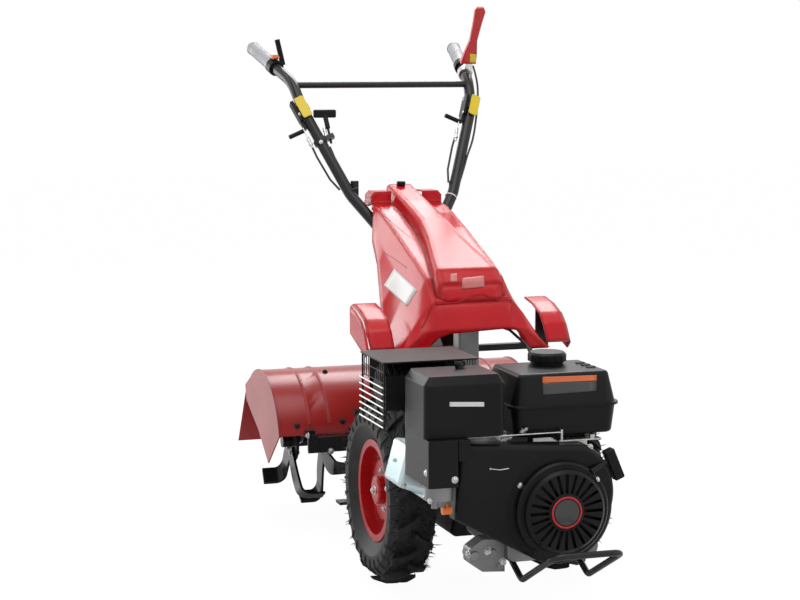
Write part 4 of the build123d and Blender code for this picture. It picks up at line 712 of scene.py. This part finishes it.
# Tiller
tillerScrews = {
    "hood": [(297, 425.8), (325, 372), (342.5, 421)],  # in the photograph
    "hoodSize": 0.0062,  # metres
    "beam": [(304.4, 445.6), (331, 451)],
    "beamSize": 0.0065,
}
fasteners("tiller_hood_bolts", hexBolt, tillerScrews["hood"], ["tiller_hood"], tillerScrews["hoodSize"],
          "blackCasting", "chassis")
fasteners("tiller_beam_bolts", hexBolt, tillerScrews["beam"], ["tiller_beam"], tillerScrews["beamSize"],
          "zinc", "chassis")
rotor = {
    "axisY": axleY + 0.622,  # metres
    "axisZ": 0.203,
    "flanges": (0.098, 0.175, 0.252),  # from the middle plane
    "circle": 0.036,
    "size": 0.0062,
    "reach": 0.024,  # only what is this near to a flange gets a bolt
    "perFace": 4,
}
bm = bmesh.new()
for side in (-1, 1):
    for flange in rotor["flanges"]:
        for face in (-1, 1):
            for k in range(rotor["perFace"]):
                turn = 2 * math.pi * (k + 0.5) / rotor["perFace"]
                away = Vector((0, math.cos(turn), math.sin(turn))) * rotor["circle"]
                start = Vector((side * flange + face * rotor["reach"], rotor["axisY"], rotor["axisZ"])) + away
                hit = firstHit(start, Vector((-face, 0, 0)), ["rotor_tines", "rotor_shaft"])
                if hit and hit[2] < rotor["reach"]:
                    hexBolt(bm, placeOn(hit[0], (face, 0, 0), turn, seat), rotor["size"])
addPiece("tine_bolts", bm, "zinc", "tine_rotor")
print("tiller dressed")

# Handlebar
grips = {
    "brace": (0.232, 0.677, 1.094),  # metres: a place on the tube before the grip, y from the axle
    "end": (0.273, 0.905, 1.177),  # about the end of the grip
    "half": 0.061,  # from the end back to the middle of the ribs
    "ribs": 17,
    "reach": 0.048,  # of the ribs to either side of their middle
    "proud": 0.0005,
    "width": 0.0034,
    "probe": 0.04,  # where the search for the grip's surface starts
    "ringRadius": 0.0172,
}
gripRings = {  # place from the grip's near end, width, look and slot
    "clamp": (-0.006, 0.011, "zinc", "bright_steel"),
    "collar": (-0.019, 0.009, "satinPlastic", "black_plastic"),
}
ringProud = 0.0012  # metres that a ring stands up from what it holds


# A closed ring round an axis
def ringOn(name, centre, along, inner, wide, finish):
    low, high = inner - 0.0005, inner + ringProud
    bm = bmesh.new()
    lathe(bm, [(low, -wide / 2), (high, -wide / 2), (high, wide / 2), (low, wide / 2)],
          placeOn(centre, along), 40)
    return addPiece(name, bm, finish, "handlebar")


# The middle of a grip's outline at one end, from the corners of the mesh there
def gripMiddle(points, along, far):
    reach = [p.dot(along) for p in points]
    edge = max(reach) if far else min(reach)
    ring = [p for p, r in zip(points, reach) if abs(r - edge) < 0.0015]
    low = [min(p[k] for p in ring) for k in range(3)]
    high = [max(p[k] for p in ring) for k in range(3)]
    return (Vector(low) + Vector(high)) / 2


# The grip's widest reach from its axis at one place, or None beside the grip
def gripRadius(where, along):
    across = along.cross(Vector((0, 0, 1))).normalized()
    found = []
    for k in range(8):
        out = Quaternion(along, k * math.pi / 4) @ across
        hit = firstHit(where + out * grips["probe"], -out, ["handle_grips"])
        if hit:
            found.append((hit[0] - where).length)
    return max(found, default=None)


gripMesh = frame["nodes"]["handle_grips"]
gripPoints = [gripMesh.matrix_world @ v.co for v in gripMesh.data.vertices]
for side, sideName in ((1, "left"), (-1, "right")):
    brace, end = [Vector((side * x, axleY + y, z)) for x, y, z in (grips["brace"], grips["end"])]
    along = (end - brace).normalized()
    points = [p for p in gripPoints if p.x * side > 0]
    nearEnd, farEnd = gripMiddle(points, along, False), gripMiddle(points, along, True)
    along = (farEnd - nearEnd).normalized()
    centre = farEnd - along * grips["half"]
    proud, wide = grips["proud"], grips["width"] / 2
    bm = bmesh.new()
    for k in range(grips["ribs"]):
        where = centre + along * grips["reach"] * (2 * k / (grips["ribs"] - 1) - 1)
        radius = gripRadius(where, along)
        if radius is not None:
            low, high = radius - 0.001, radius + proud
            rib = [(low, -wide), (high, -wide * 0.6), (high, wide * 0.6), (low, wide)]
            lathe(bm, rib, placeOn(where, along), 40)
    addPiece(f"grip_ribs_{sideName}", bm, "gripRubber", "handlebar")
    for ringName, (back, wide, finish, slot) in gripRings.items():
        ringOn(f"{ringName}_{sideName}", nearEnd + along * back, along, grips["ringRadius"], wide, finish)

# Ties round the tubes, each between two places on a tube in the photograph
ties = {
    "tie_left_low": ((452, 194), (456, 184), "tieWhite"),
    "tie_right_low": ((352, 190), (345, 180), "sheathBlack"),
}
tube = {"radius": 0.0137, "tieWidth": 0.0035}  # metres
for tieName, (first, second, finish) in ties.items():
    start = onPhoto(*first, "handle_frame")[0]
    along = (onPhoto(*second, "handle_frame")[0] - start).normalized()
    inward = (cameraObject.location - start).normalized()
    inward = (inward - along * inward.dot(along)).normalized()
    ringOn(tieName, start - inward * tube["radius"], along, tube["radius"], tube["tieWidth"], finish)

bracketNodes = ["lever_brackets", "handle_frame", "hand_levers"]
leverScrews = {  # kind, places in the photograph, pieces they sit on, half width in metres
    "lever_screws_right": (crossScrew, [(296.5, 106), (300, 114)], bracketNodes, 0.003),
    "lever_screws_left": (crossScrew, [(463.5, 99), (463, 112)], bracketNodes, 0.003),
    "gear_bracket_screw": (hexBolt, [(333, 146)], ["gear_bracket"], 0.004),
}
for screwName, (kind, spots, nodes, size) in leverScrews.items():
    fasteners(screwName, kind, spots, nodes, size, "zinc", "handlebar")

# Cables, drawn on the plane in which the straight part of both tubes lies
slope = Vector((0, 0.205, -0.115)).normalized()
tubePlane = (0, axleY + 0.56, 0.925)
adjusters = {  # bright ends where the lever cables leave their brackets
    "right": ((308, 139), (312.5, 148)),
    "left": ((456.5, 130), (455.5, 141)),
    "gear": ((324, 128), (327, 141)),
}
for name, ends in adjusters.items():
    start, end = [onPlane(u, v, tubePlane, slope) for u, v in ends]
    along = end - start
    long = along.length
    bm = bmesh.new()
    barrel = [(0, 0), (0.0045, 0), (0.0045, long * 0.3), (0.0032, long * 0.32), (0.0032, long * 0.5)]
    barrel += [(0.0048, long * 0.52), (0.0048, long * 0.72), (0.003, long * 0.75), (0.0026, long), (0, long)]
    lathe(bm, barrel, placeOn(start, along), 20)
    addPiece(f"cable_adjuster_{name}", bm, "zinc", "handlebar")

wires = {"pull_wire_right": [(303, 128), (308, 139)], "pull_wire_left": [(459, 121), (456.5, 130)]}
sideCables = {
    "clutch_cable": [(473, 66), (477.5, 80), (478, 100), (476, 120), (473, 140), (467, 156), (464, 168),
                     (459, 184)],
    "throttle_cable": [(281, 70), (286, 76), (290, 84), (294, 96), (300, 110), (305, 122)],
    "gear_cable": [(330, 147), (334, 156), (339, 168), (345, 181)],
    "lever_cable_end": [(449.5, 181), (450, 187), (451.5, 194)],
}
cableRadius = {"wire": 0.0014, "sheath": 0.0026}  # metres
for name, spots in wires.items():
    line = [onPlane(u, v, tubePlane, slope) for u, v in spots]
    addTube(name, line, cableRadius["wire"], "zinc", "handlebar")
for name, spots in sideCables.items():
    line = [onPlane(u, v, tubePlane, slope) for u, v in spots]
    addTube(name, line, cableRadius["sheath"], "sheathBlack", "handlebar")

# Yellow tag at the foot of the red lever
leverTag = {"corners": [(469.5, 53.5), (477, 54), (476.5, 61.5), (470, 62.5)], "lift": 0.0008}
patch("lever_tag", leverTag["corners"], ["clutch_lever", "lever_clamp"], "plateYellow",
      "handlebar", leverTag["lift"])

# Cap of the stop switch, larger than the switch by these lengths in metres
stopCap = {"side": 0.002, "along": 0.004, "down": 0.004, "up": 0.004, "chamfer": 0.003}
low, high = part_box("stop_switch")
x0, x1 = low[0] - stopCap["side"], high[0] + stopCap["side"]
y0, y1 = low[1] - stopCap["along"], high[1] + stopCap["along"]
z0, z1 = high[2] - stopCap["down"], high[2] + stopCap["up"]
inset = stopCap["chamfer"]
bm = bmesh.new()
bottom = [bm.verts.new((x, y, z0)) for x, y in ((x0, y0), (x1, y0), (x1, y1), (x0, y1))]
x0, x1, y0, y1 = x0 + inset, x1 - inset, y0 + inset, y1 - inset
top = [bm.verts.new((x, y, z1)) for x, y in ((x0, y0), (x1, y0), (x1, y1), (x0, y1))]
bm.faces.new(list(reversed(bottom)))
bm.faces.new(top)
for k in range(4):
    bm.faces.new((bottom[k], bottom[(k + 1) % 4], top[(k + 1) % 4], top[k]))
addPiece("stop_switch_cap", bm, "tapOrange", "handlebar")
print("handlebar dressed")

# Room: white around, soft lamps above
room = {
    "fill": 0.45,  # strength of the white around, for what it lights but not for what it shows
    "key": 50,  # watts
    "side": 12,
    "back": 52,
    "backLeft": 50,
    "floorHalf": 15,  # metres
    "floorTone": 0.92,
    "floorRough": 0.9,
    "floorWhite": 0.93,  # share of the glow in what the camera sees of the floor
    "floorGlow": 1.035,
}
world = bpy.data.worlds.new("world")
bpy.context.scene.world = world
world.use_nodes = True
worldNodes = world.node_tree.nodes
worldLinks = world.node_tree.links
background = worldNodes["Background"]
background.inputs["Color"].default_value = (1, 1, 1, 1)
path = worldNodes.new("ShaderNodeLightPath")
seen = worldNodes.new("ShaderNodeMath")
seen.operation = "MAXIMUM"
worldLinks.new(path.outputs["Is Camera Ray"], seen.inputs[0])
glassy = worldNodes.new("ShaderNodeMath")
glassy.operation = "MAXIMUM"
worldLinks.new(path.outputs["Is Glossy Ray"], glassy.inputs[0])
worldLinks.new(path.outputs["Is Transmission Ray"], glassy.inputs[1])
worldLinks.new(glassy.outputs["Value"], seen.inputs[1])
level = worldNodes.new("ShaderNodeMapRange")
level.inputs["To Min"].default_value = room["fill"]
level.inputs["To Max"].default_value = 1.0
worldLinks.new(seen.outputs["Value"], level.inputs["Value"])
worldLinks.new(level.outputs["Result"], background.inputs["Strength"])


def lamp(name, place, target, size, power):
    data = bpy.data.lights.new(name, "AREA")
    data.size = size
    data.energy = power
    light = bpy.data.objects.new(name, data)
    light.location = place
    light.visible_camera = False
    light.rotation_euler = (Vector(target) - Vector(place)).to_track_quat("-Z", "Y").to_euler()
    bpy.context.scene.collection.objects.link(light)


lamp("top", (-0.4, axleY - 0.6, 3.6), (0, axleY + 0.2, 0.4), 2.6, room["key"])
lamp("side", (2.6, axleY - 2.8, 2.0), (0, axleY, 0.5), 1.8, room["side"])
lamp("back", (1.0, axleY + 2.3, 2.95), (0, axleY + 0.1, 0.6), 1.5, room["back"])
lamp("backLeft", (-2.3, axleY + 4.0, 1.4), (-0.2, axleY + 0.3, 0.4), 2.2, room["backLeft"])

floorMesh = bpy.data.meshes.new("floor")
half = room["floorHalf"]
floorMesh.from_pydata([(-half, -half, 0), (half, -half, 0), (half, half, 0), (-half, half, 0)], [],
                      [(0, 1, 2, 3)])
floor = bpy.data.objects.new("floor", floorMesh)
bpy.context.scene.collection.objects.link(floor)
floorPaint = bpy.data.materials.new("floorPale")
floorPaint.use_nodes = True
floorNodes = floorPaint.node_tree.nodes
floorLinks = floorPaint.node_tree.links
floorShader = floorNodes["Principled BSDF"]
floorShader.inputs["Base Color"].default_value = (*[room["floorTone"]] * 3, 1)
floorShader.inputs["Roughness"].default_value = room["floorRough"]
glow = floorNodes.new("ShaderNodeEmission")
glow.inputs["Color"].default_value = (1, 1, 1, 1)
glow.inputs["Strength"].default_value = room["floorGlow"]
floorPath = floorNodes.new("ShaderNodeLightPath")
share = floorNodes.new("ShaderNodeMath")
share.operation = "MULTIPLY"
share.inputs[1].default_value = room["floorWhite"]
floorLinks.new(floorPath.outputs["Is Camera Ray"], share.inputs[0])
both = floorNodes.new("ShaderNodeMixShader")
floorLinks.new(share.outputs["Value"], both.inputs["Fac"])
floorLinks.new(floorShader.outputs["BSDF"], both.inputs[1])
floorLinks.new(glow.outputs["Emission"], both.inputs[2])
floorLinks.new(both.outputs["Shader"], floorNodes["Material Output"].inputs["Surface"])
floorMesh.materials.append(floorPaint)
bpy.context.scene.view_settings.view_transform = "Standard"
print("room ready")
